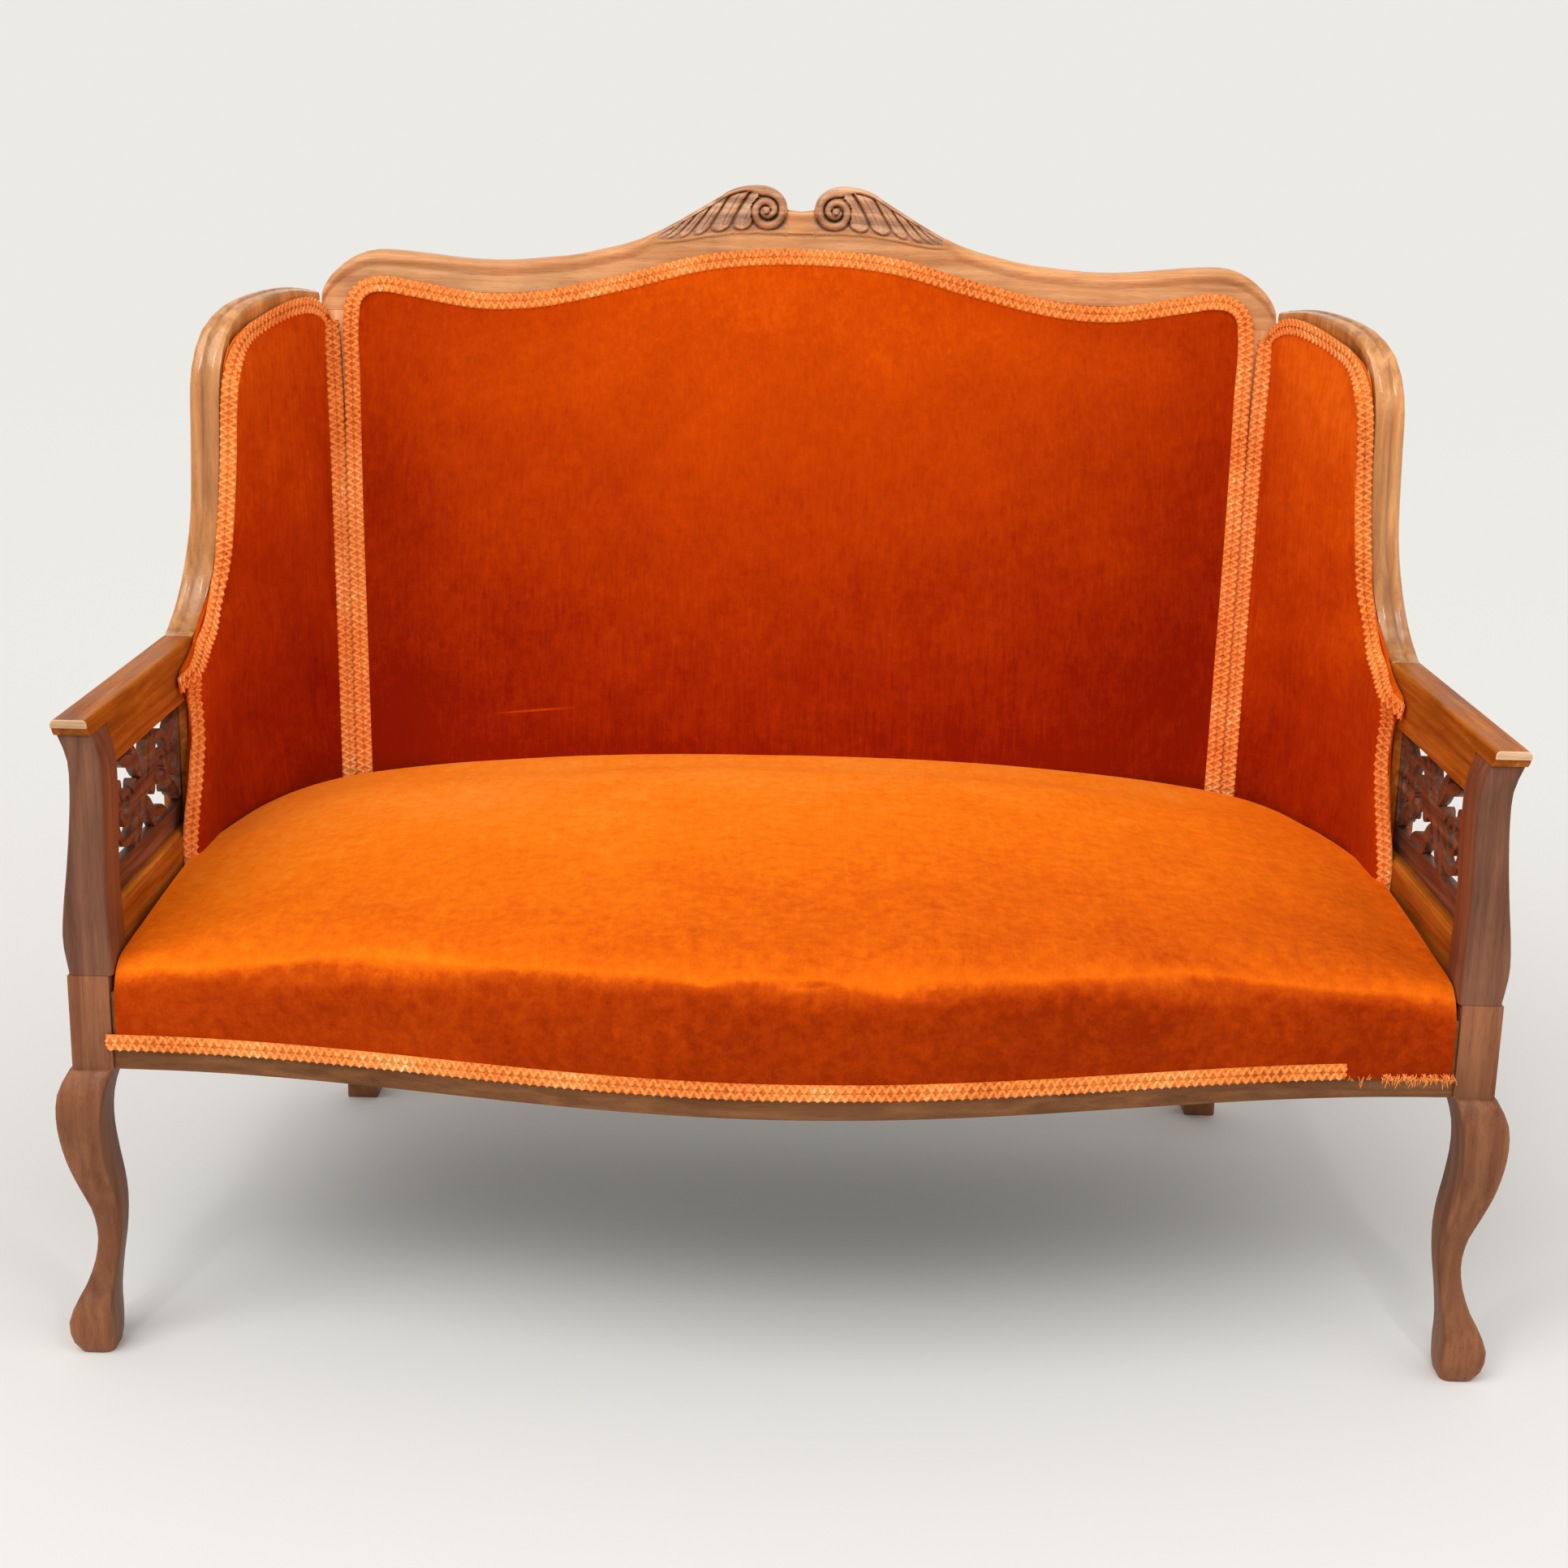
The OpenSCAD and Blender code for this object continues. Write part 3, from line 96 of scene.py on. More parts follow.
def stained_beech(name, dark, mid, light, along, roughness, gloss, coat, dirt_and_shade=0.62):
    """Stained and polished wood with its grain along the axis X, Y or Z"""
    made, tree, out = new_material(name)
    place = add(tree, "TexCoord").outputs["Object"]
    # Growth figure 9 mm wide and 200 mm long. Pores in groups 0.7 mm wide and 14 mm long: single
    # pores of beech are far finer, so they are drawn as coarse as they need to show
    figure_scale, pore_scale = [1000 / 9] * 3, [1000 / 0.7] * 3
    axis = "XYZ".index(along)
    figure_scale[axis], pore_scale[axis] = 1000 / 200, 1000 / 14
    figure_place = add(tree, "Mapping", {"Scale": figure_scale}, {"Vector": place})
    pore_place = add(tree, "Mapping", {"Scale": pore_scale}, {"Vector": place})
    figure = add(tree, "TexNoise", {"Scale": 1.0, "Detail": 5.0, "Distortion": 0.5},
                 {"Vector": figure_place})
    pores = add(tree, "TexNoise", {"Scale": 1.0, "Detail": 2.0}, {"Vector": pore_place})
    body = add(tree, "ValToRGB", {"stops": [(0.30, dark), (0.50, mid), (0.72, light)]}, {"Fac": figure})
    # Cloudy stain, in patches of about 60 mm
    cloud = add(tree, "TexNoise", {"Scale": 1000 / 60, "Detail": 3.0}, {"Vector": place})
    cloudy = add(tree, "MapRange", {"From Min": 0.3, "From Max": 0.7, "To Min": 0.84, "To Max": 1.12},
                 {"Value": cloud})
    pore_dark = add(tree, "MapRange", {"From Min": 0.34, "From Max": 0.46, "To Min": 0.80, "To Max": 1.0},
                    {"Value": pores})
    # Handling rubs the stain off convex edges and leaves dirt in the hollows. The lighter convex edges
    # are also a painted highlight, and the darker hollows also painted shade
    bend = add(tree, "NewGeometry").outputs["Pointiness"]
    hollow_dirt_and_shade = add(tree, "MapRange", {"From Min": 0.45, "From Max": 0.50, "To Min": dirt_and_shade, "To Max": 1.0},
               {"Value": bend})
    rubbed_and_highlit = add(tree, "MapRange", {"From Min": 0.505, "From Max": 0.56, "To Min": 1.0, "To Max": 1.45},
                 {"Value": bend})
    tone = cloudy
    for share in (pore_dark, hollow_dirt_and_shade, rubbed_and_highlit):
        tone = add(tree, "Math", {"operation": "MULTIPLY"}, {0: tone, 1: share})
    colour = add(tree, "VectorMath", {"operation": "SCALE"}, {0: body, "Scale": tone})
    rough = add(tree, "MapRange", {"From Min": 0.3, "From Max": 0.7, "To Min": roughness - 0.06,
                                   "To Max": roughness + 0.10}, {"Value": cloud})
    relief = add(tree, "Bump", {"Strength": 0.22, "Distance": 0.0004}, {"Height": pores})
    surface = add(tree, "BsdfPrincipled", {"IOR": 1.5, "Specular IOR Level": gloss, "Coat Weight": coat,
                                           "Coat Roughness": 0.10},
                  {"Base Color": colour, "Roughness": rough, "Normal": relief})
    tree.links.new(surface.outputs[0], out.inputs["Surface"])
    return made


# Dull reddish brown with the polish worn away
leg_stain = stained_beech("worn_stained_beech_legs", "#683C26", "#784A30", "#865639", along="Z",
                          roughness=0.46, gloss=0.15, coat=0.04)


def copy_of(node, name):
    """New object with a CAD node's mesh, its points welded where triangles meet"""
    mesh = nodes[node].data.copy()
    mesh.name = name
    made = bpy.data.objects.new(name, mesh)
    scene.collection.objects.link(made)
    shape = bmesh.new()
    shape.from_mesh(mesh)
    weld, speck = 2e-5, 1e-6
    bmesh.ops.remove_doubles(shape, verts=shape.verts, dist=weld)
    bmesh.ops.dissolve_degenerate(shape, edges=shape.edges, dist=speck)
    shape.to_mesh(mesh)
    shape.free()
    return made


def take_place(piece, material, slot, *replaced):
    """Gives a piece its finish and puts it in its CAD nodes' place"""
    piece.data.materials.clear()
    piece.data.materials.append(material)
    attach(piece, "root")
    if replaced:
        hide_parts(*replaced)
    return piece


def apply_modifiers(piece):
    """Turns a piece's modifiers into its own mesh"""
    made = bpy.data.meshes.new_from_object(
        piece.evaluated_get(bpy.context.evaluated_depsgraph_get()))
    piece.modifiers.clear()
    piece.data = made
    return piece


def smooth(piece, degrees):
    """Smooth shading up to that angle between faces"""
    shape = bmesh.new()
    shape.from_mesh(piece.data)
    for face in shape.faces:
        face.smooth = True
    for edge in shape.edges:
        if len(edge.link_faces) == 2:
            edge.smooth = edge.calc_face_angle(0) < math.radians(degrees)
    shape.to_mesh(piece.data)
    shape.free()
    return piece


def wooden(node, material, slot, rounding, limit=32, border=0.0):
    """A wooden piece with its arrises rounded by hand, and a worn border along them, in metres"""
    piece = copy_of(node, "wood_" + node)
    # Triangles within 0.4 degrees of one plane become one face before the arrises are rounded
    flat = piece.modifiers.new("flat", "DECIMATE")
    flat.decimate_type = "DISSOLVE"
    flat.angle_limit = math.radians(0.4)
    sharp, round_off = 1.0, 0.5
    for width, profile in ((border, sharp), (rounding, round_off)):
        if width:
            edge = piece.modifiers.new("arris", "BEVEL")
            edge.width = width
            edge.segments = 2
            edge.profile = profile
            edge.limit_method = "ANGLE"
            edge.angle_limit = math.radians(limit)
            edge.use_clamp_overlap = True
    apply_modifiers(piece)
    smooth(piece, limit)
    return take_place(piece, material, slot, node)


sides = ("left", "right")
for side in sides:
    wooden("front_leg_" + side, leg_stain, "leg_wood", rounding=0.0012)

# Arm posts: shaped beech supports that stand on the front legs' blocks and carry the arms, dowelled
# at both ends. Their darker stain keeps a satin polish.
support_stain = stained_beech("worn_stained_beech_arm_posts", "#5A3626", "#6C4430", "#7A503A", along="Z",
                              roughness=0.38, gloss=0.18, coat=0.08)
for side in sides:
    wooden("arm_post_" + side, support_stain, "leg_wood", rounding=0.0012)

# Back posts: back leg and back post in one length of beech, raked to the rear. It is stained like
# the front legs below the seat, and polished warm brown above it, where a strip of it shows.
post_polish = stained_beech("polished_beech_posts", "#A8683A", "#C88852", "#DCA070", along="Z",
                            roughness=0.36, gloss=0.2, coat=0.1)
stain_line = 0.36
for side in sides:
    post = wooden("back_post_" + side, leg_stain, "leg_wood", rounding=0.0015)
    post.data.materials.append(post_polish)
    for face in post.data.polygons:
        face.material_index = int(face.center.z > stain_line)

# Arms and panel frames: flat beech arms, and below them the rails and stiles that hold the fretwork,
# dowelled together and polished golden brown. The arm ends and one arris are pale: hands have worn
# them bare, and the pale also stands for a painted highlight.
arm_polish = stained_beech("polished_beech_arms", "#84440F", "#A25816", "#BE7229", along="Y",
                           roughness=0.34, gloss=0.04, coat=0.02)
# Pale dry wood with no polish left on it, also used as a painted highlight on the arm ends and the arris
worn_bare_and_highlit = stained_beech("bare_beech_worn_and_highlit_arm_ends", "#B48862", "#D0A882", "#E2C4A4", along="X",
                             roughness=0.5, gloss=0.2, coat=0.0)
# Depth and height of the pale patch at the arm ends, and width of the pale arris: bare wear and a painted
# highlight
pale_end_deep, pale_end_high, arris = 0.0025, 0.009, 0.0012
for side in sides:
    arm = wooden("arm_rail_" + side, arm_polish, "show_wood", rounding=0.0012, border=0.006)
    arm.data.materials.append(worn_bare_and_highlit)
    low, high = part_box("arm_rail_" + side)
    for face in arm.data.polygons:
        at_end = face.center.y < low.y + pale_end_deep and face.center.z > high.z - pale_end_high
        face.material_index = int(at_end)
    panel_rail = wooden("panel_rail_" + side, arm_polish, "show_wood", rounding=0.0010, border=0.004)
    panel_rail.data.materials.append(worn_bare_and_highlit)
    low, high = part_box("panel_rail_" + side)
    inner = min(abs(low.x), abs(high.x))
    for face in panel_rail.data.polygons:
        on_arris = abs(face.center.x) < inner + arris and face.center.z > high.z - arris
        face.material_index = int(on_arris)
    wooden("arm_stile_" + side, arm_polish, "show_wood", rounding=0.0010)

# Fretwork: a scroll pattern pierced through a thin beech board with a fretsaw and let in between the
# arm and the panel rail. It has a darker stain, and no hand reaches in to rub it.
fret_stain = stained_beech("dark_stained_fretwork", "#42261A", "#643E2C", "#805440", along="Y",
                           roughness=0.42, gloss=0.2, coat=0.05)
for side in sides:
    wooden("fretwork_" + side, fret_stain, "fret_wood", rounding=0.0007)

# Wing frames: S-curved beech mouldings, sawn to their curve and run with a moulding plane, which
# frame the wings and come down on the arms. Their polish is the glossiest on the settee.
wing_polish = stained_beech("polished_beech_wings", "#A2642A", "#B87A40", "#CE9458", along="Z",
                            roughness=0.24, gloss=0.35, coat=0.6)
for side in sides:
    wooden("wing_frame_" + side, wing_polish, "show_wood", rounding=0.0008, limit=40)

# Seat rails: the serpentine front rail and the straight side rails of beech, dowelled into the legs.
# Only a strip of them shows under the gimp, in the legs' brown with no polish left.
rail_browns = ("#5C3820", "#6E4628", "#7E5434")
side_stain = stained_beech("worn_stained_beech_side_rails", *rail_browns, along="Y", roughness=0.48,
                           gloss=0.12, coat=0.02)
for side in sides:
    wooden("side_seat_rail_" + side, side_stain, "rail_wood", rounding=0.0012)
rail_stain = stained_beech("worn_stained_beech_rail", *rail_browns, along="X", roughness=0.48,
                           gloss=0.12, coat=0.02)
wooden("front_seat_rail", rail_stain, "rail_wood", rounding=0.0015)

# Hidden frame: rails, stiles and corner blocks inside the covers, in beech straight from the saw,
# glued and screwed. It was never stained and has gone grey brown with age.
raw_beech = stained_beech("raw_beech_frame", "#8A6A48", "#A8845C", "#C0A078", along="X", roughness=0.75,
                          gloss=0.2, coat=0.0)
hidden = [kind + side for side in sides
          for kind in ("wing_rail_", "wing_stile_", "glue_block_front_", "glue_block_back_")]
for name in ["back_seat_rail", "back_tack_rail", *hidden]:
    nodes[name].data.materials.clear()
    nodes[name].data.materials.append(raw_beech)


# Crest rail: sawn from a board to its outline and carved on the face with a pair of volutes, each
# running out into a leaf of overlapping lobes. The ends of the top edge are rounded over.
def fade(value, low, high):
    """Smooth step from 0 at low to 1 at high"""
    t = np.clip((value - low) / (high - low), 0, 1)
    return t * t * (3 - 2 * t)


def surface_of(piece):
    """Search tree over a piece's faces"""
    points = [v.co.copy() for v in piece.data.vertices]
    return BVHTree.FromPolygons(points, [list(f.vertices) for f in piece.data.polygons])


def mesh_piece(name, points, faces):
    """New object from points and faces, with its normals outward"""
    mesh = bpy.data.meshes.new(name)
    mesh.from_pydata(points, [], faces)
    made = bpy.data.objects.new(name, mesh)
    scene.collection.objects.link(made)
    shape = bmesh.new()
    shape.from_mesh(mesh)
    bmesh.ops.recalc_face_normals(shape, faces=shape.faces)
    shape.to_mesh(mesh)
    shape.free()
    return made


# Lean of the back, y and z of a point on its frame's front, thickness of the crest's board, and x
# and z of the right volute's eye
rake = math.radians(9.65)
frame_y, frame_z = 0.216714, 0.264
board_t = 0.030
scroll_at = (0.0357, 0.977)


def back_plane(z):
    """Front of the back's frame at height z"""
    return frame_y + (z - frame_z) * math.tan(rake)


def step_line(p):
    """Height of the carving's lower edge over the volute's centre, in mm"""
    return np.interp(p, [-36, 14, 35, 63, 82, 100, 116], [-20, -20, -21, -25, -29, -31.5, -32])


def carving(x, z, top):
    """Relief of the carved face in metres, where top is the board's upper edge"""
    # Millimetres beside the eye, outward, and above it along the leaning board
    p = (np.abs(x) - scroll_at[0]) * 1000
    q = (z - scroll_at[1]) * 1000 / math.cos(rake)
    edge = (top - scroll_at[1]) * 1000 / math.cos(rake)
    floor_line = step_line(p)
    # Volute: one ridge 7.2 mm high that winds inwards by 9.5 mm a turn, round a domed eye
    ridge_h, outer_r, turn_w, eye_r = 7.2, 24.5, 9.5, 4.6
    radius = np.hypot(p, q)
    angle = (np.degrees(np.arctan2(q, p)) - 60) % 360
    turn = (outer_r - turn_w * angle / 360 - radius) / turn_w
    part = turn - np.floor(turn)
    volute = np.where(turn > 0, ridge_h * np.sin(np.pi * np.clip(part, 0.02, 0.98)) ** 0.42, 0)
    volute *= np.where(turn < 1, fade(angle, -4, 26), 1)
    eye = 6.4 * np.sqrt(np.clip(1 - (radius / 5.2) ** 2, 0, 1)) + 0.6
    volute = np.where(radius < eye_r, eye, volute)
    # Leaf: its back flows out of the volute along the top edge, and its lobes curl down below it
    size = np.clip(1 - (p - 8) / 150, 0.25, 1)
    flow = fade(p, 0, 26)
    middle = 19 + (edge - 2.4 - 19) * flow
    half_back = 4.8 + (3.3 * size - 4.8) * flow
    back_w = 6.5 * size
    reach = fade(p, -3, 3) * (1 - fade(p, 104, 117))
    crown = (ridge_h - 0.8 * flow) * np.clip(size, 0.4, 1)
    ridge = crown * np.clip(1 - ((q - middle) / half_back) ** 2, 0, 1) ** 0.4
    ridge = np.where((p > 30) & (q > middle), crown, ridge)
    up = np.clip((q - floor_line) / np.maximum(edge - 4 - floor_line, 4), 0, 1.2)
    along = p + 22 * up ** 1.5
    # Lobes run between these distances from the eye, each with a vein along its middle
    ends = np.array([15, 37, 60, 79, 95, 108, 119.0])
    lobe = np.clip(np.searchsorted(ends, along) - 1, 0, len(ends) - 2)
    f = np.clip((along - ends[lobe]) / (ends[lobe + 1] - ends[lobe]), 0, 1)
    body = 6.4 * size * (0.45 + 0.55 * np.sin(np.pi * f ** 0.75))
    body *= fade(f, 0, 0.13) * fade(1 - f, 0, 0.10)
    body -= 1.1 * np.exp(-((f - 0.42) / 0.05) ** 2) * fade(up, 0.1, 0.5)
    foot = fade(q - floor_line - 6 * (1 - np.sin(np.pi * f)), -0.8, 2.2)
    body *= foot * fade(edge - back_w - q, -1.5, 1.5)
    body = np.where((along > ends[0]) & (along < ends[-1]) & (p > 8), body, 0)
    leaf = np.maximum(body, ridge * (q > floor_line)) * reach
    step = 1.3 * fade(q, floor_line - 3.6, floor_line - 2.6) * (1 - fade(p, 100, 128))
    leaf = np.where(turn > 0, ridge * reach * (angle < 40), leaf)
    return np.maximum(step, np.maximum(volute, leaf)) / 1000


def crest_board(name):
    """Crest rail with the outline of its CAD node, as rings round the board from end to end"""
    solid = surface_of(nodes["crest_rail"])
    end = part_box("crest_rail")[1].x - 1e-5
    # Rings 1.25 mm apart as far as the carving goes, then wider, and closer again at the round end
    carved_end, ring_step, plain_rings = 0.156, 0.00125, 120
    carved = np.arange(0, carved_end, ring_step)
    share = 1 - (1 - np.linspace(0, 1, plain_rings)) ** 1.35
    half = np.concatenate([carved, carved_end + (end - carved_end) * share])
    xs = np.concatenate([-half[:0:-1], half])
    lean = Vector((0, math.sin(rake), math.cos(rake)))
    mid_z, away = 0.95, 0.2
    rows, over = 72, 5
    # Half lengths of the leaf's rise over the volute in mm, towards the middle and away from it
    rise_in, rise_out = 29.5, 45
    rings = []
    for x in xs:
        middle = Vector((x, back_plane(mid_z) + board_t / 2, mid_z))
        tops = solid.ray_cast(middle + lean * away, -lean)[0]
        feet = solid.ray_cast(middle - lean * away, lean)[0]
        # The leaf's back rises over the volute in one line, 25.5 mm above its eye
        p = (abs(x) - scroll_at[0]) * 1000 - 8
        dome = 2 + 23.5 * math.sqrt(max(0, 1 - (p / (rise_in if p < 0 else rise_out)) ** 2))
        hi, lo = tops.z, feet.z
        if -rise_in < p < rise_out:
            hi = max(hi, scroll_at[1] + dome * math.cos(rake) / 1000)
        # Beyond the carving the top edge is rounder, and a band along it stands 2.5 mm proud
        bare = float(fade(abs(x), 0.148, 0.168))
        r = (3 + 4 * bare) / 1000
        band = max(lo + 0.004, hi - 0.013)
        nose = 0.0025 * bare
        z = np.linspace(lo, hi - r, rows)
        face = -carving(np.full(rows, x), z, hi) * (1 - bare) - nose * fade(z, band - 0.003, band + 0.005)
        crown = [(face[-1] + (r - face[-1] * 0.4) * (1 - math.cos(a)), hi - r * (1 - math.sin(a)))
                 for a in np.linspace(0, math.pi / 2, over + 1)[1:]]
        back_r = 0.003
        rear = [(board_t - back_r, hi), (board_t - 0.3 * back_r, hi - 0.3 * back_r),
                (board_t, hi - back_r), (board_t, (hi + lo) / 2), (board_t, lo), (board_t * 0.5, lo)]
        rings.append([(x, back_plane(h) + d, h) for d, h in [*zip(face, z), *crown, *rear]])
    n = len(rings[0])
    points = [p for ring in rings for p in ring]
    faces = [(i * n + j, i * n + (j + 1) % n, (i + 1) * n + (j + 1) % n, (i + 1) * n + j)
             for i in range(len(rings) - 1) for j in range(n)]
    faces += [tuple(range(n - 1, -1, -1)), tuple((len(rings) - 1) * n + j for j in range(n))]
    return mesh_piece(name, points, faces)


# Warm polish, worn thin along the top, and the same darker on the carving, under old dirt and painted
# shade; the lighter edges are partly a painted highlight
crest_polish = stained_beech("polished_beech_crest", "#B87640", "#D4925A", "#E2A874", along="X",
                             roughness=0.36, gloss=0.25, coat=0.2, dirt_and_shade=0.22)
carved_polish = stained_beech("dirty_and_shaded_polished_beech_carving", "#8A5A38", "#B8825A", "#DCAA80", along="X",
                              roughness=0.34, gloss=0.3, coat=0.3, dirt_and_shade=0.14)
crest = smooth(crest_board("carved_crest_rail"), 50)
take_place(crest, crest_polish, "show_wood", "crest_rail")
crest.data.materials.append(carved_polish)
# The carved face takes the darker finish, for old dirt and painted shade
carved_from, carved_to, face_depth = -19, 112, 0.006
for face in crest.data.polygons:
    p = (abs(face.center.x) - scroll_at[0]) * 1000
    q = (face.center.z - scroll_at[1]) * 1000 / math.cos(rake)
    in_front = face.center.y < back_plane(face.center.z) + face_depth
    face.material_index = int(in_front and carved_from < p < carved_to and q > step_line(p))


# Seat: coil springs and horsehair under hessian, covered with cotton velvet that is pulled over the
# front roll and tacked along the rail. It is stuffed fuller in the middle than at the sides. Its
# pile is about 2 mm high. Its colour has painted light: orange on top and towards the back and left,
# and dark rust on the front as painted shade.
def cotton_velvet(name, stops, painted_light_centre, far, near, facing, rows, streak, mottle, patchy, stroke=None):
    """Velvet from painted shade to painted light: it is painted lighter the nearer it lies to a given
    point, from 'far' to 'near' metres off, and the more it faces up, by 'facing'"""
    made, tree, out = new_material(name)
    place = add(tree, "TexCoord").outputs["Object"]
    away = add(tree, "VectorMath", {"operation": "DISTANCE", 1: painted_light_centre}, {0: place}).outputs["Value"]
    fall = add(tree, "MapRange", {"From Min": far, "From Max": near, "To Max": 1 - facing},
               {"Value": away})
    normal = add(tree, "NewGeometry").outputs["Normal"]
    level = add(tree, "SeparateXYZ", links={0: normal}).outputs["Z"]
    # Painted light by slope: lighter the more a face turns up, with a painted highlight just over the
    # turn of a rolled edge and painted shade under it
    turned = add(tree, "MapRange", {"From Min": -0.30, "From Max": 1.0}, {"Value": level})
    painted_slope_light = add(tree, "ValToRGB", {"stops": [(0.0, "#404040"), (0.23, "#787878"), (0.40, "#868686"),
                                              (0.62, "#CCCCCC"), (0.76, "#FFFFFF"), (0.96, "#ECECEC")]},
                 {"Fac": turned})
    painted_top_light = add(tree, "Math", {"operation": "MULTIPLY", 1: facing}, {0: painted_slope_light})
    tone = add(tree, "Math", {"operation": "ADD"}, {0: fall, 1: painted_top_light})
    # Pile pressed into streaks 4 or 5 mm across and about 50 mm long, its size in mm being 'rows'
    streak_place = add(tree, "Mapping", {"Scale": [1000 / size for size in rows]}, {"Vector": place})
    streaks = add(tree, "TexNoise", {"Scale": 1.0, "Detail": 4.0, "Roughness": 0.7},
                  {"Vector": streak_place})
    # Brushed and sat-on patches, 110 mm and 12 mm across. The tufts of the pile are 0.3 mm apart,
    # too fine to show, so they are drawn at 1.2 mm
    patches = add(tree, "TexNoise", {"Scale": 1000 / 110, "Detail": 4.0, "Roughness": 0.68},
                  {"Vector": place})
    brushed = add(tree, "TexNoise", {"Scale": 1000 / 12, "Detail": 6.0, "Roughness": 0.72,
                                     "Distortion": 0.2}, {"Vector": place})
    tufts = add(tree, "TexNoise", {"Scale": 1000 / 1.2, "Detail": 1.0}, {"Vector": place})
    # The pile lies every way where the cover rolls over, so patches show strongest there
    roll = add(tree, "Math", {"operation": "SUBTRACT", 0: facing}, {1: painted_top_light})
    roll = add(tree, "Math", {"operation": "MULTIPLY"}, {0: roll, 1: painted_top_light})
    rolled = add(tree, "Math", {"operation": "MULTIPLY_ADD", 1: 3.6, 2: mottle}, {0: roll})
    shares = ((streaks, streak, None), (patches, patchy, None), (brushed, 1.0, rolled),
              (tufts, 0.10, None))
    for source, share, mask in shares:
        swing = add(tree, "Math", {"operation": "SUBTRACT", 1: 0.5}, {0: source})
        if mask:
            swing = add(tree, "Math", {"operation": "MULTIPLY"}, {0: swing, 1: mask})
        tone = add(tree, "Math", {"operation": "MULTIPLY_ADD", 1: share}, {0: swing, 2: tone})
    if stroke:
        # Something drawn across the pile has left a lighter stroke, 90 mm long and 3 mm wide
        to_stroke = add(tree, "Mapping", {"vector_type": "TEXTURE", "Location": stroke,
                                          "Rotation": (0, -0.1, 0), "Scale": (0.045, 1.0, 0.0016)},
                        {"Vector": place})
        off = add(tree, "VectorMath", {"operation": "LENGTH"}, {0: to_stroke}).outputs["Value"]
        drawn = add(tree, "MapRange", {"From Min": 1.0, "From Max": 0.3, "To Max": 0.95},
                    {"Value": off})
        drawn = add(tree, "Math", {"operation": "MULTIPLY"}, {0: drawn, 1: brushed})
        tone = add(tree, "Math", {"operation": "ADD"}, {0: tone, 1: drawn})
    colour = add(tree, "ValToRGB", {"stops": stops}, {"Fac": tone})
    height = add(tree, "Math", {"operation": "MULTIPLY_ADD", 1: 0.5}, {0: streaks, 2: tufts})
    relief = add(tree, "Bump", {"Strength": 0.35, "Distance": 0.0008}, {"Height": height})
    surface = add(tree, "BsdfPrincipled",
                  {"Roughness": 0.95, "IOR": 1.45, "Specular IOR Level": 0.05, "Sheen Weight": 0.12,
                   "Sheen Roughness": 0.4, "Sheen Tint": linear("#FF8A3A")},
                  {"Base Color": colour, "Normal": relief})
    tree.links.new(surface.outputs[0], out.inputs["Surface"])
    return made


def positions(piece):
    """Vertex positions and normals as arrays"""
    count = len(piece.data.vertices)
    co, no = np.empty(count * 3), np.empty(count * 3)
    piece.data.vertices.foreach_get("co", co)
    piece.data.vertices.foreach_get("normal", no)
    return co.reshape(-1, 3), no.reshape(-1, 3)


def set_positions(piece, co):
    """Writes vertex positions back"""
    piece.data.vertices.foreach_set("co", co.ravel())
    piece.data.update()


def stuffed(node, name, levels):
    """A stuffed piece: the CAD form as quads, rounded between its cut edges"""
    piece = copy_of(node, name)
    shape = bmesh.new()
    shape.from_mesh(piece.data)
    bmesh.ops.join_triangles(shape, faces=shape.faces, angle_face_threshold=0.9,
                             angle_shape_threshold=0.9)
    layers = shape.edges.layers.float
    crease = layers.get("crease_edge") or layers.new("crease_edge")
    cut_edge = math.radians(55)
    for edge in shape.edges:
        if len(edge.link_faces) == 2 and edge.calc_face_angle(0) > cut_edge:
            edge[crease] = 1.0
    shape.to_mesh(piece.data)
    shape.free()
    piece.modifiers.new("round", "SUBSURF").levels = levels
    apply_modifiers(piece)
    return piece


def plump(piece, free, pressure, cap):
    """Lets the stuffing push the free part of a cover out by at most cap, with Blender's cloth"""
    rest, _ = positions(piece)
    tacked = piece.vertex_groups.new(name="tacked")
    for weight in np.unique(np.round(1 - free, 1)):
        chosen = np.nonzero(np.round(1 - free, 1) == weight)[0].tolist()
        tacked.add(chosen, float(weight), "REPLACE")
    cloth = piece.modifiers.new("Cloth", "CLOTH")
    cloth.settings.quality = 4
    cloth.settings.mass = 0.3
    cloth.settings.use_pressure = True
    cloth.settings.uniform_pressure_force = pressure
    cloth.settings.effector_weights.gravity = 0
    cloth.settings.vertex_group_mass = "tacked"
    settling = 20
    for number in range(1, settling + 1):
        scene.frame_set(number)
    swollen = piece.evaluated_get(bpy.context.evaluated_depsgraph_get()).data
    moved = np.empty(len(rest) * 3)
    swollen.vertices.foreach_get("co", moved)
    step = (moved.reshape(-1, 3) - rest) * free[:, None]
    far = np.maximum(np.linalg.norm(step, axis=1), 1e-9)
    step *= np.minimum(1, cap / far)[:, None]
    piece.modifiers.clear()
    piece.vertex_groups.clear()
    scene.frame_set(1)
    set_positions(piece, rest + step)


def lumps(piece, free, size, height, seed):
    """Uneven stuffing under the cover: soft lumps of that size, in metres"""
    co, no = positions(piece)
    offset = Vector((seed, seed * 2.3, seed * 0.7))
    field = np.array([noise.fractal(Vector(p) / size + offset, 0.8, 2.0, 3) for p in co])
    set_positions(piece, co + no * (field * height * free)[:, None])


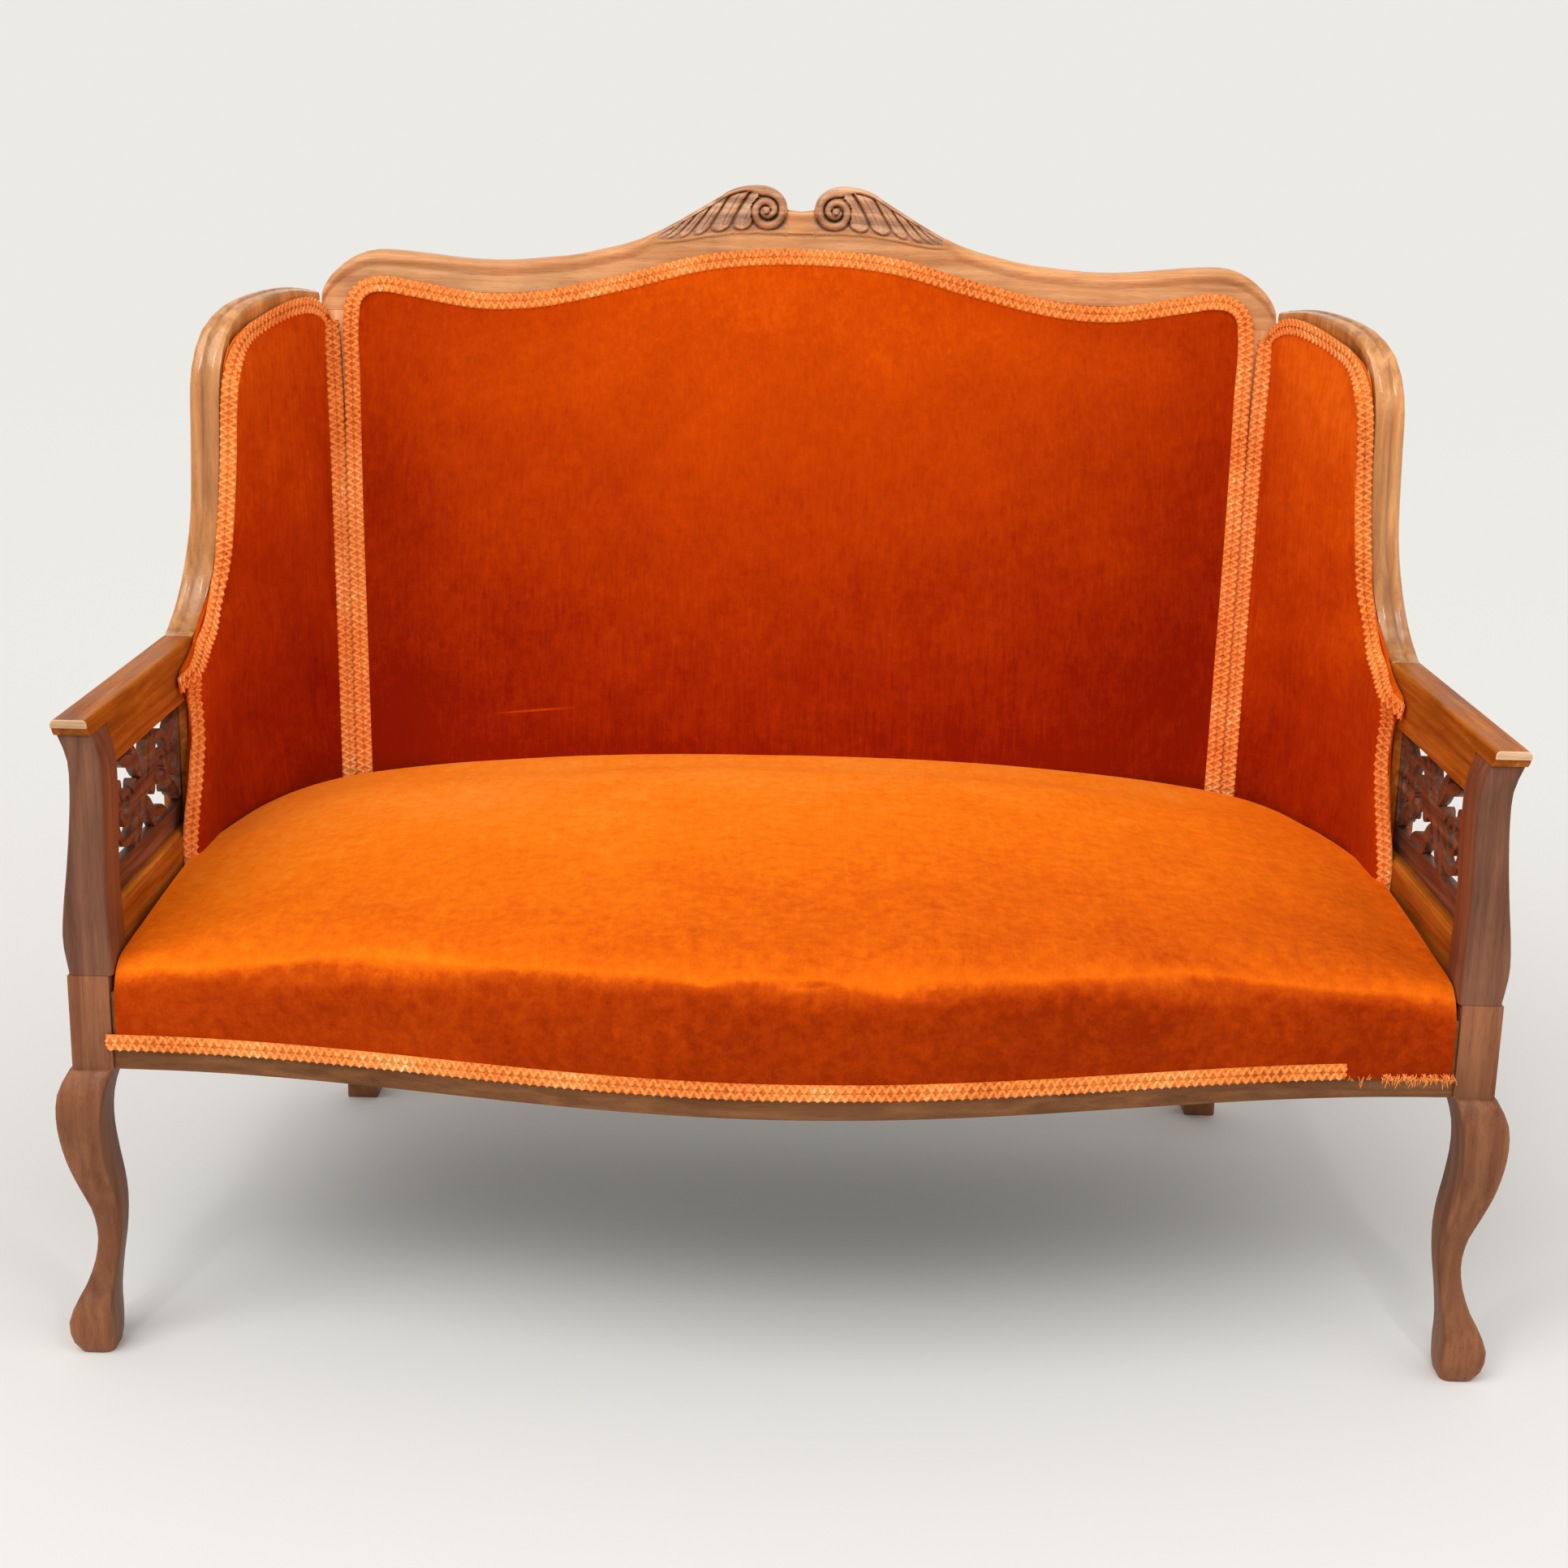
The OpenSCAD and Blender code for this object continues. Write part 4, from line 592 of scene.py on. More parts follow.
seat_velvet = cotton_velvet(
    "orange_velvet_seat", [(0.06, "#8E2600"), (0.22, "#AA3602"), (0.42, "#C44A06"), (0.62, "#E8660A"),
                           (0.80, "#FC7E10"), (1.0, "#FF9630")],
    painted_light_centre=(-0.6, 2.4, 0.5), far=2.86, near=2.35, facing=0.62, rows=(5, 45, 11), streak=0.16, mottle=0.30,
    patchy=0.26)
seat = stuffed("seat_pad", "seat_cushion", levels=2)
co, no = positions(seat)
low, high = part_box("seat_pad")
# Free to swell on top, and held where it is tacked: low down, at the sides and along the back
seat_free = (fade(co[:, 2], low.z + 0.03, low.z + 0.07) * fade(high.x - np.abs(co[:, 0]), 0.0, 0.05)
             * (no[:, 2] > -0.2) * fade(high.y - co[:, 1], 0.01, 0.09))
plump(seat, seat_free, pressure=3.0, cap=0.006)
lumps(seat, seat_free, size=0.16, height=0.003, seed=3.0)
smooth(seat, 60)
take_place(seat, seat_velvet, "velvet", "seat_pad")

# Inside back: a thin stuffed panel tacked round its edge to the posts and the crest rail, with its
# lower edge pulled down behind the seat. The velvet is painted lighter at the top middle and darker
# towards the corners and the seat, as light and shade.
back_velvet = cotton_velvet(
    "orange_velvet_back", [(0.02, "#861800"), (0.22, "#9E2800"), (0.45, "#B43800"), (0.68, "#C64400"),
                           (0.90, "#DE5602"), (1.0, "#EC660E")],
    painted_light_centre=(-0.03, 0.24, 1.17), far=0.79, near=0.15, facing=0.10, rows=(4, 4, 50), streak=0.40,
    mottle=0.40, patchy=0.46, stroke=(-0.266, 0.24, 0.4685))
back = stuffed("back_pad", "inside_back", levels=3)
co, no = positions(back)
low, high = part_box("back_pad")
# Free to swell inside its tacked edges, and held at its foot, where it goes down behind the seat
back_free = (fade(high.x - 0.02 - np.abs(co[:, 0]), 0.0, 0.06) * fade(co[:, 2], low.z, low.z + 0.08)
             * (no[:, 1] < -0.3) * fade(high.z - co[:, 2], 0.02, 0.12))
plump(back, back_free, pressure=3.0, cap=0.004)
lumps(back, back_free, size=0.20, height=0.0025, seed=7.0)
smooth(back, 60)
take_place(back, back_velvet, "velvet", "back_pad")

# Inside wings: velvet over a little wadding, from the show moulding round to the back post and down
# along the arm to the seat. Its front edge is turned round the panel's frame and rolls inward.
# The velvet is painted lighter towards the top front and darker low down, at the back and on the left wing,
# as light and shade
wing_velvet = cotton_velvet(
    "orange_velvet_wings", [(0.02, "#861600"), (0.25, "#A02800"), (0.50, "#BA3A00"), (0.75, "#D65204"),
                            (1.0, "#F26C10")],
    painted_light_centre=(0.15, -1.2, 2.2), far=2.38, near=1.98, facing=0.10, rows=(4, 4, 55), streak=0.34, mottle=0.42,
    patchy=0.60)
# The front edge from the seat up: its height, its y, and how far the cover is pulled along Y there
wing_edge = [(0.345, -0.0003, -0.024), (0.404, 0.0054, -0.018), (0.464, 0.022, -0.008),
             (0.493, 0.0315, -0.0095), (0.523, 0.0302, -0.014), (0.540, 0.0196, -0.025),
             (0.548, 0.0143, -0.030), (0.556, 0.013, -0.006), (0.568, 0.033, 0.012),
             (0.580, 0.050, 0.013), (0.595, 0.073, 0.010), (0.625, 0.096, 0.006), (0.665, 0.108, 0.0)]
edge_heights, edge_places, edge_shifts = zip(*wing_edge)
roll_in = 0.009
for side, sign in (("left", -1), ("right", 1)):
    wing = stuffed("wing_pad_" + side, "inside_wing_" + side, levels=2)
    co, _ = positions(wing)
    behind = co[:, 1] - np.interp(co[:, 2], edge_heights, edge_places)
    low_down = 1 - fade(co[:, 2], 0.55, 0.64)
    co[:, 1] += np.interp(co[:, 2], edge_heights, edge_shifts) * (1 - fade(behind, 0.0, 0.07))
    co[:, 0] -= sign * roll_in * low_down * fade(behind, 0.0, 0.016) * (1 - fade(behind, 0.02, 0.11))
    set_positions(wing, co)
    smooth(wing, 60)
    take_place(wing, wing_velvet, "velvet", "wing_pad_" + side)


# Outside covers: plain velvet pulled tight over the frame behind the wings and across the back,
# blind-tacked at the top and turned under at its edges, so the border stands a little proud.
def cloth_panel(node, name, way, out, columns, rows, thick, rise):
    """Cloth that fills its CAD node's outline, with 'rise' in metres over the shares across and up"""
    solid = surface_of(nodes[node])
    low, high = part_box(node)
    middle = (low + high) / 2
    inside = 1e-4
    points = []
    for s in np.linspace(0, 1, columns):
        x = low.x + inside + s * (high.x - low.x - 2 * inside)
        centre = Vector((x, middle.y, middle.z))
        first = solid.ray_cast(centre - way * 2, way)[0]
        last = solid.ray_cast(centre + way * 2, -way)[0]
        for t in np.linspace(0, 1, rows):
            points.append(first.lerp(last, t) + out * rise(s, t))
    faces = [(i * rows + j, (i + 1) * rows + j, (i + 1) * rows + j + 1, i * rows + j + 1)
             for i in range(columns - 1) for j in range(rows - 1)]
    made = mesh_piece(name, points, faces)
    skin = made.modifiers.new("cloth", "SOLIDIFY")
    skin.thickness, skin.offset = thick, 0
    return smooth(apply_modifiers(made), 60)


def edge_of(s, t, width):
    """1 at the border of a panel, fading to 0 over that share of its size"""
    return 1 - fade(min(s, 1 - s, t, 1 - t), 0, width)


# The velvet is painted lighter towards the top and darker low down, as light and shade
outside_velvet = cotton_velvet(
    "orange_velvet_outside", [(0.02, "#861A00"), (0.35, "#A42C00"), (0.65, "#BE3C04"), (1.0, "#DC5410")],
    painted_light_centre=(0.0, 0.3, 2.6), far=2.30, near=1.70, facing=0.10, rows=(4, 4, 55), streak=0.40, mottle=0.36,
    patchy=0.46)
for side in sides:
    cover = stuffed("outside_wing_" + side, "outside_wing_cover_" + side, levels=2)
    smooth(cover, 60)
    take_place(cover, outside_velvet, "outside_velvet", "outside_wing_" + side)
upward = Vector((0, math.sin(rake), math.cos(rake)))
rearward = Vector((0, math.cos(rake), -math.sin(rake)))


def outside_back_rise(s, t):
    """The turned edge stands 1.6 mm proud, and the cover sinks by 3 mm towards its middle"""
    turned, sunk, ripple = 0.0016, 0.003, 0.0012
    return (turned * edge_of(s, t, 0.012) - sunk * (1 - edge_of(s, t, 0.3))
            + ripple * noise.noise(Vector((s * 7, t * 5, 0.3))))


cover = cloth_panel("outside_back", "outside_back_cover", upward, rearward, columns=121, rows=81,
                    thick=0.002, rise=outside_back_rise)
take_place(cover, outside_velvet, "outside_velvet", "outside_back")


# Gimp of the seat: a flat furnishing braid 15 mm wide, two rows of rayon cord worked to and fro over
# a ground of finer threads. It is glued along the lower edge of the front cover, following the rail's
# bow, and ends short of the rail's right end.
def rayon(name, stops, roughness):
    """Rayon threads 0.8 mm thick in twists of 3 mm, faded in patches of 70 mm along the braid"""
    made, tree, out = new_material(name)
    place = add(tree, "TexCoord").outputs["Object"]
    fine = add(tree, "TexNoise", {"Scale": 1000 / 0.8, "Detail": 2.0}, {"Vector": place})
    bead = add(tree, "TexNoise", {"Scale": 1000 / 3, "Detail": 1.0}, {"Vector": place})
    faded = add(tree, "TexNoise", {"Scale": 1000 / 70, "Detail": 3.0}, {"Vector": place})
    mixed = add(tree, "Math", {"operation": "MULTIPLY_ADD", 1: 0.9}, {0: bead, 2: faded})
    mixed = add(tree, "Math", {"operation": "MULTIPLY_ADD", 1: 0.5}, {0: fine, 2: mixed})
    shade = add(tree, "MapRange", {"From Min": 0.85, "From Max": 1.55}, {"Value": mixed})
    colour = add(tree, "ValToRGB", {"stops": stops}, {"Fac": shade})
    relief = add(tree, "Bump", {"Strength": 0.4, "Distance": 0.0003}, {"Height": fine})
    surface = add(tree, "BsdfPrincipled",
                  {"Roughness": roughness, "IOR": 1.5, "Specular IOR Level": 0.15},
                  {"Base Color": colour, "Normal": relief})
    tree.links.new(surface.outputs[0], out.inputs["Surface"])
    return made


# The cord's palest colour is a painted highlight: glints on its twists at random
gimp_cord = rayon("rayon_gimp_cord", [(0.0, "#E0742C"), (0.45, "#FA9044"), (0.8, "#FFA85C"),
                                      (1.0, "#FFD494")], roughness=0.55)
gimp_ground = rayon("rayon_gimp_ground", [(0.0, "#A84810"), (0.5, "#E07A2C"), (1.0, "#F29444")],
                    roughness=0.7)
# Length of one wave of the cords, the steps that it is drawn in, and half the braid's width
pitch = 0.0075
wave_steps = 8
half_braid = 0.0075


def even_line(points, step):
    """Rows at even steps along a smooth line through the given rows, whose first three are x, y, z"""
    p = np.array(points, float)
    t = np.concatenate([[0], np.cumsum(np.linalg.norm(np.diff(p[:, :3], axis=0), axis=1))])
    m = np.gradient(p, t, axis=0)
    s = np.linspace(0, t[-1], int(t[-1] / step) * 4)
    i = np.clip(np.searchsorted(t, s, side="right") - 1, 0, len(t) - 2)
    h = (t[i + 1] - t[i])[:, None]
    u = (s - t[i])[:, None] / h
    line = (p[i] * (2 * u ** 3 - 3 * u ** 2 + 1) + m[i] * h * (u ** 3 - 2 * u ** 2 + u)
            + p[i + 1] * (3 * u ** 2 - 2 * u ** 3) + m[i + 1] * h * (u ** 3 - u ** 2))
    gone = np.concatenate([[0], np.cumsum(np.linalg.norm(np.diff(line[:, :3], axis=0), axis=1))])
    even = np.linspace(0, gone[-1], int(gone[-1] / step) + 1)
    return np.stack([np.interp(even, gone, line[:, k]) for k in range(p.shape[1])], 1)


def unit(v):
    """Rows at length 1"""
    return v / np.maximum(np.linalg.norm(v, axis=1), 1e-9)[:, None]


def add_tube(points, faces, centre, side, up, profile):
    """Adds a section swept along a line, its profile in metres over (side, up), to a mesh's lists"""
    first, n, count = len(points), len(profile), len(centre)
    points += [tuple(c + a * v + n * h) for c, a, n in zip(centre, side, up) for v, h in profile]
    faces += [(first + i * n + j, first + i * n + (j + 1) % n, first + (i + 1) * n + (j + 1) % n,
               first + (i + 1) * n + j) for i in range(count - 1) for j in range(n)]
    faces.append(tuple(first + j for j in range(n - 1, -1, -1)))
    faces.append(tuple(first + (count - 1) * n + j for j in range(n)))


def evened(values, count):
    """Values along a line, each as the mean of that many neighbours"""
    return np.convolve(np.pad(values, count // 2, mode="edge"), np.ones(count) / count, "valid")


def laid_on(cloth, rows, wide, outset):
    """Middle line, way across and way out of a braid on its cloth, from its rows along the edge"""
    way = unit(np.gradient(rows[:, :3], axis=0))
    across = unit(rows[:, 3:] - way * np.sum(rows[:, 3:] * way, axis=1)[:, None])
    across = np.stack([evened(across[:, k], 25) for k in range(3)], 1)
    across = unit(across - way * np.sum(across * way, axis=1)[:, None])
    out = np.cross(way, across)
    centre = rows[:, :3] + across * (half_braid * wide - outset)
    # Height of the cloth under five places across the braid, evened out along it
    above = 0.03
    tries = np.linspace(-0.0065, 0.0065, 5)
    rise = np.full((len(rows), len(tries)), np.nan)
    for k, (c, a, n) in enumerate(zip(centre, across, out)):
        for j, v in enumerate(tries):
            hit = cloth.ray_cast(Vector(c + a * v + n * above), Vector(-n), 2 * above)
            if hit[0] is not None:
                rise[k, j] = above - hit[3]
    for j in range(len(tries)):
        known = np.isfinite(rise[:, j])
        if known.any():
            rise[:, j] = np.interp(np.arange(len(rows)), np.nonzero(known)[0], rise[known, j])
        else:
            rise[:, j] = 0
        rise[:, j] = evened(rise[:, j], 17)
    middle = np.maximum(rise[:, 2], (rise[:, 1] + rise[:, 3]) / 2)
    tilt = (rise[:, 4] - rise[:, 0]) / (tries[4] - tries[0])
    centre = centre + out * middle[:, None]
    across = unit(across + out * np.clip(tilt, -0.6, 0.6)[:, None])
    return centre, across, np.cross(way, across)


def gimp(name, replaced, strips, cloth, mirrored=False, wide=1.0, outset=0.0):
    """Braid along strips of rows (outer edge x, y, z in mm, way across x, y, z), laid on the cloth"""
    # Section of the ground, from one edge to the other and back underneath
    ground_half = np.array([-7.3, -6.6, -3.7, 0, 3.7, 6.6, 7.3, 6.4, 0, -6.4]) / 1000 * wide
    ground_rise = np.array([0.2, 1.0, 1.3, 0.8, 1.3, 1.0, 0.2, -0.3, -0.3, -0.3]) / 1000
    ground_section = list(zip(ground_half, ground_rise))
    # Cords 2.9 by 1.8 mm, 3.7 mm to each side of the middle, which swing by 2.7 mm and rise by 0.4 mm
    cord_section = [(0.00145 * math.cos(a), 0.0009 * math.sin(a)) for a in np.arange(6) * math.pi / 3]
    row_at, swing_w, lift, lift_wave = 0.0037, 0.0027, 0.0016, 0.0004
    points, faces, slots = [], [], []
    for strip in strips:
        rows = even_line(np.array(strip) / [1000, 1000, 1000, 1, 1, 1], pitch / wave_steps)
        centre, across, out = laid_on(cloth, rows, wide, outset)
        add_tube(points, faces, centre, across, out, ground_section)
        slots += [1] * (len(faces) - len(slots))
        waves = np.arange(len(rows)) / wave_steps
        for row, shift in ((-1, 0.0), (1, 0.5)):
            swing = (np.cos(2 * np.pi * (waves + shift)) * swing_w + row * row_at) * wide
            height = lift + lift_wave * np.cos(4 * np.pi * (waves + shift))
            line = centre + across * swing[:, None] + out * height[:, None]
            heading = unit(np.gradient(line, axis=0))
            side = unit(np.cross(out, heading))
            add_tube(points, faces, line, side, np.cross(heading, side), cord_section)
        slots += [0] * (len(faces) - len(slots))
    if mirrored:
        points = [(-x, y, z) for x, y, z in points]
    made = mesh_piece(name, points, faces)
    take_place(made, gimp_cord, "braid", replaced)
    made.data.materials.append(gimp_ground)
    for face, slot in zip(made.data.polygons, slots):
        face.material_index = slot
    return smooth(made, 50)


def front_bow(x, ahead):
    """Y of the front rail's serpentine face at x, 'ahead' metres in front of it"""
    bow_depth, bow_half, ends_y = 0.081, 0.573, -0.2823
    share = (1 + np.cos(np.pi * np.minimum(1, np.abs(x) / bow_half))) / 2
    return ends_y - bow_depth * share - ahead


seat_gimp_z = 283
xs = np.linspace(-0.577, 0.477, 60)
front_strip = [(x * 1000, front_bow(x, 0.0055) * 1000, seat_gimp_z, 0, 0, 1) for x in xs]
gimp("gimp_seat", "seat_braid", [front_strip], surface_of(seat))

# Frayed edge: past the gimp's end the velvet's cut edge shows above the rail, frayed into short
# threads along a line of tacks. They hang down over the wood, in the lighter orange of the gimp.
fray_random = random.Random(4)
thread_count, loose_count = 170, 25
points, faces = [], []
for k in range(thread_count):
    # The first threads lie beside the gimp's end as well
    x = fray_random.uniform(0.476 if k < loose_count else 0.508, 0.571)
    y = front_bow(x, 0.0062)
    z = fray_random.uniform(0.2835, 0.2885)
    lean = fray_random.uniform(-0.004, 0.004)
    reach = fray_random.uniform(0.003, 0.008)
    droop = fray_random.uniform(-0.2, 1.0)
    t = np.linspace(0, 1, 6)
    line = np.stack([x + lean * t, y - 0.0022 * np.sin(2.6 * t), z - reach * t * (droop * t + 0.3)], 1)
    heading = unit(np.gradient(line, axis=0))
    side = unit(np.cross(heading, np.array([[0, -1.0, 0]] * len(t))))
    radius = fray_random.uniform(0.00018, 0.0004)
    section = [(radius * math.cos(a), radius * math.sin(a)) for a in np.arange(4) * math.pi / 2]
    add_tube(points, faces, line, side, np.cross(heading, side), section)
fray = mesh_piece("frayed_velvet_edge", points, faces)
take_place(fray, gimp_cord, "velvet")

# Gimp of the back: one length of the same braid, glued over the tacks up one post, along under the
# crest rail with its dip at each side, and down the other post.
# Half of its outer edge from the middle: x and z in mm, with the way across it in the back's plane
half_line = [(0, 938.5, 0, -1), (94, 931.6, 0, -1), (188, 908.1, 0, -1), (282, 889.3, 0, -1),
             (318, 887.5, 0, -1), (400, 898.5, 0, -1), (428, 902.6, -0.15, -1), (446, 900.5, -0.5, -0.85),
             (460, 892, -0.8, -0.6), (468, 878, -0.97, -0.25), (470, 862, -1, 0), (468.6, 800, -1, 0),
             (465.8, 700, -1, 0), (457.7, 500, -1, 0), (452.5, 375, -1, 0)]
in_front = 0.008
right_half = [(x, (back_plane(z / 1000) - in_front) * 1000, z, a, b * math.sin(rake), b * math.cos(rake))
              for x, z, a, b in half_line]
left_half = [(-x, y, z, -a, b, c) for x, y, z, a, b, c in right_half[:0:-1]]
gimp("gimp_back", "back_braid", [right_half[::-1] + left_half[::-1]], surface_of(back),
     wide=1.12, outset=0.001)

# Gimp of the wings: three lengths of the same braid on each wing, glued up the arm panel, up the
# moulding and over the top, and down the back post. Rows of x, y, z in mm and the way across it.
panel_strip = [(572, -24, 350, -0.6, 0.8, 0), (572, -17, 396, -0.6, 0.8, 0),
               (572, 11, 457, -0.6, 0.8, -0.1), (572, 20, 482, -0.6, 0.8, 0),
               (572, 20, 503, -0.6, 0.8, 0.1), (572, 11, 528, -0.6, 0.8, 0.2),
               (572, 4, 541, -0.6, 0.8, 0.3)]
moulding_strip = [(572, -19, 548, -0.4, 0.5, -0.75), (572, 11, 555, -0.4, 0.5, -0.75),
                  (572, 44, 568, -0.45, 0.5, -0.7), (572, 76, 583, -0.6, 0.4, -0.6),
                  (569.5, 99, 608, -0.85, 0.2, -0.4), (564.5, 110, 642, -1, 0.05, -0.1),
                  (561, 113, 672, -1, 0, 0), (556.6, 116, 731, -1, 0, 0),
                  (554, 118, 790, -1, 0.12, 0), (551.5, 122, 818, -0.95, 0.2, -0.2),
                  (546, 134, 842, -0.75, 0.2, -0.5), (537.3, 155, 859, -0.45, 0.1, -0.85),
                  (529, 180, 867, -0.2, 0.05, -1), (515.4, 219, 877, 0, 0, -1),
                  (505.3, 249, 881.6, 0, 0, -1), (497.5, 275.6, 881, 0, 0, -1),
                  (490.5, 303, 873, 0, -0.05, -1), (487, 313, 867.5, 0, -0.05, -1)]
post_strip = [(477.4, 312, 858, 1, 0, 0), (475.4, 309.4, 828, 1, 0, 0), (471.6, 299, 767.6, 1, 0, 0),
              (465.7, 278.6, 647, 1, 0, 0), (454.3, 232.4, 375, 1, 0, 0)]
for side in sides:
    gimp("gimp_wing_" + side, "wing_braid_" + side, [panel_strip, moulding_strip, post_strip],
         surface_of(bpy.data.objects["inside_wing_right"]), mirrored=side == "left", wide=1.12,
         outset=0.0015)


# Webbing of the seat: five jute straps from front to back and two along, 50 mm wide, woven over and
# under each other and tacked to the undersides of the seat rails. They carry the springs.
def plain_weave(name, dark, light, pitch, axes):
    """Plain weave over two axes, with threads that many metres apart"""
    made, tree, out = new_material(name)
    place = add(tree, "TexCoord").outputs["Object"]
    # A wave texture's band is 2 pi / 20 wide at a scale of 1
    scale = 2 * math.pi / 20 / pitch
    threads = [add(tree, "TexWave", {"Scale": scale, "bands_direction": axis}, {"Vector": place})
               for axis in axes]
    both = add(tree, "Math", {"operation": "MULTIPLY"}, {0: threads[0], 1: threads[1]})
    # Thick places in the yarn, 4 mm long
    slub = add(tree, "TexNoise", {"Scale": 1000 / 4, "Detail": 3.0}, {"Vector": place})
    tone = add(tree, "Math", {"operation": "MULTIPLY_ADD", 1: 0.6}, {0: slub, 2: both})
    colour = add(tree, "ValToRGB", {"stops": [(0.2, dark), (1.0, light)]}, {"Fac": tone})
    relief = add(tree, "Bump", {"Strength": 0.5, "Distance": 0.0005}, {"Height": both})
    surface = add(tree, "BsdfPrincipled", {"Roughness": 0.95, "Specular IOR Level": 0.2},
                  {"Base Color": colour, "Normal": relief})
    tree.links.new(surface.outputs[0], out.inputs["Surface"])
    return made


web_w, web_t = 0.050, 0.0016
strap_section = [(v * web_w / 2, h * web_t / 2) for v, h in
                 ((-1, -0.6), (-0.96, -1), (0, -1), (0.96, -1), (1, -0.6), (1, 0.6), (0.96, 1), (0, 1),
                  (-0.96, 1), (-1, 0.6))]


def straps(name, lines, side_ways, up):
    """Straps along their lines, each with its way across"""
    points, faces = [], []
    for line, across in zip(lines, side_ways):
        count = len(line)
        add_tube(points, faces, np.array(line), np.array([across] * count), np.array([up] * count),
                 strap_section)
    return smooth(mesh_piece(name, points, faces), 40)


# Straps cross at even steps, where they rise and fall by 0.9 mm to pass over and under
across_step, along_y = 0.1916, (-0.1347, 0.0762)
along_step = along_y[1] - along_y[0]
web_z, weave_rise = 0.2624, 0.0009
tacked_back, tacked_side, behind_face = 0.2317, 0.588, 0.015
lines, ways = [], []
for k in range(5):
    x = (k - 2) * across_step
    lines.append([(x, y, web_z + weave_rise * math.cos(math.pi * ((y - along_y[0]) / along_step + k)))
                  for y in np.linspace(front_bow(x, -behind_face), tacked_back, 60)])
    ways.append((1, 0, 0))
for k, y in enumerate(along_y):
    lines.append([(x, y, web_z - weave_rise * math.cos(math.pi * (x / across_step + k)))
                  for x in np.linspace(-tacked_side, tacked_side, 120)])
    ways.append((0, 1, 0))
jute = plain_weave("jute_webbing", "#7A5E34", "#C0A474", pitch=0.0030, axes="XY")
take_place(straps("seat_webbing_straps", lines, ways, (0, 0, 1)), jute, "webbing", "seat_webbing")

# Webbing of the back: five of the same jute straps upright and three across, woven in the same way
# and tacked to the front of the back's frame, behind the hessian and the stuffing.
upright_step, cross_heights, cross_step = 0.1505, (0.481, 0.636, 0.791), 0.155
web_ahead, weave_rise = 0.0016, 0.0008
strap_foot, strap_side = 0.352, 0.452
lines, ways = [], []
for k in range(-2, 3):
    x = k * upright_step
    # The outer straps end lower, under the crest rail's dip
    strap_top = 0.918 - 0.043 * (abs(k) / 2) ** 0.7
    lines.append([(x, back_plane(z) - web_ahead
                   - weave_rise * math.cos(math.pi * ((z - cross_heights[0]) / cross_step + k)), z)
                  for z in np.linspace(strap_foot, strap_top, 60)])
    ways.append((1, 0, 0))
for k, z in enumerate(cross_heights):
    lines.append([(x, back_plane(z) - web_ahead + weave_rise * math.cos(math.pi * (x / upright_step + k)), z)
                  for x in np.linspace(-strap_side, strap_side, 100)])
    ways.append((0, -math.sin(rake), -math.cos(rake)))
jute_back = plain_weave("jute_webbing_upright", "#7A5E34", "#C0A474", pitch=0.0030, axes="XZ")
take_place(straps("back_webbing_straps", lines, ways, (0, -math.cos(rake), math.sin(rake))), jute_back,
           "webbing", "back_webbing")

# Hessian: coarse jute cloth, tacked to the seat rails over the springs and to the back's frame over
# its webbing, and pulled flat. The stuffing of the seat and the back lies on it.
hessian_browns, thread_pitch = ("#6E552E", "#B09058"), 0.0022
depthward, skyward = Vector((0, 1, 0)), Vector((0, 0, 1))


def flat_rise(s, t):
    """A cloth pulled flat"""
    return 0.0


hessian = plain_weave("jute_hessian", *hessian_browns, pitch=thread_pitch, axes="XY")
seat_cloth = cloth_panel("seat_hessian", "seat_hessian_cloth", depthward, skyward, columns=97, rows=49,
                         thick=0.001, rise=flat_rise)
take_place(seat_cloth, hessian, "hessian", "seat_hessian")
hessian_back = plain_weave("jute_hessian_upright", *hessian_browns, pitch=thread_pitch, axes="XZ")
back_cloth = cloth_panel("back_hessian", "back_hessian_cloth", upward, rearward, columns=97, rows=49,
                         thick=0.001, rise=flat_rise)
take_place(back_cloth, hessian_back, "hessian", "back_hessian")


# Dust cover: thin black cotton tacked under the seat rails, a little slack in the middle and drawn
# into small puckers at its tacks. It keeps dust from the stuffing off the floor.
def dust_cover_rise(s, t):
    """The slack hangs 6 mm down, and the edge puckers by 1.2 mm, one pucker every 30 mm"""
    slack, pucker, turns = 0.006, 0.0012, 240
    puckered = math.sin(s * turns) * edge_of(s, t, 0.06) * (1 - edge_of(s, t, 0.015))
    return -slack * (1 - edge_of(s, t, 0.3)) + pucker * puckered


black_cotton = plain_weave("black_cotton_lining", "#0E0C0B", "#2A2623", pitch=0.0012, axes="XY")
dust_cover = cloth_panel("bottom_cloth", "dust_cover", depthward, skyward, columns=141, rows=71,
                         thick=0.0008, rise=dust_cover_rise)
take_place(dust_cover, black_cotton, "dust_cloth", "bottom_cloth")

# Springs: ten double-cone coils of coppered steel wire, which stand on the webbing where its straps
# cross and press up against the hessian. The copper has gone dull brown, in spots of 8 mm.
spring_wire, tree, out = new_material("coppered_spring_wire")
place = add(tree, "TexCoord").outputs["Object"]
patina = add(tree, "TexNoise", {"Scale": 1000 / 8, "Detail": 4.0}, {"Vector": place})
tarnish = add(tree, "ValToRGB", {"stops": [(0.35, "#5A3A28"), (0.7, "#A4704C")]}, {"Fac": patina})
wire = add(tree, "BsdfPrincipled", {"Metallic": 1.0, "Roughness": 0.45}, {"Base Color": tarnish})
tree.links.new(wire.outputs[0], out.inputs["Surface"])
nodes["seat_springs"].data.materials.clear()
nodes["seat_springs"].data.materials.append(spring_wire)

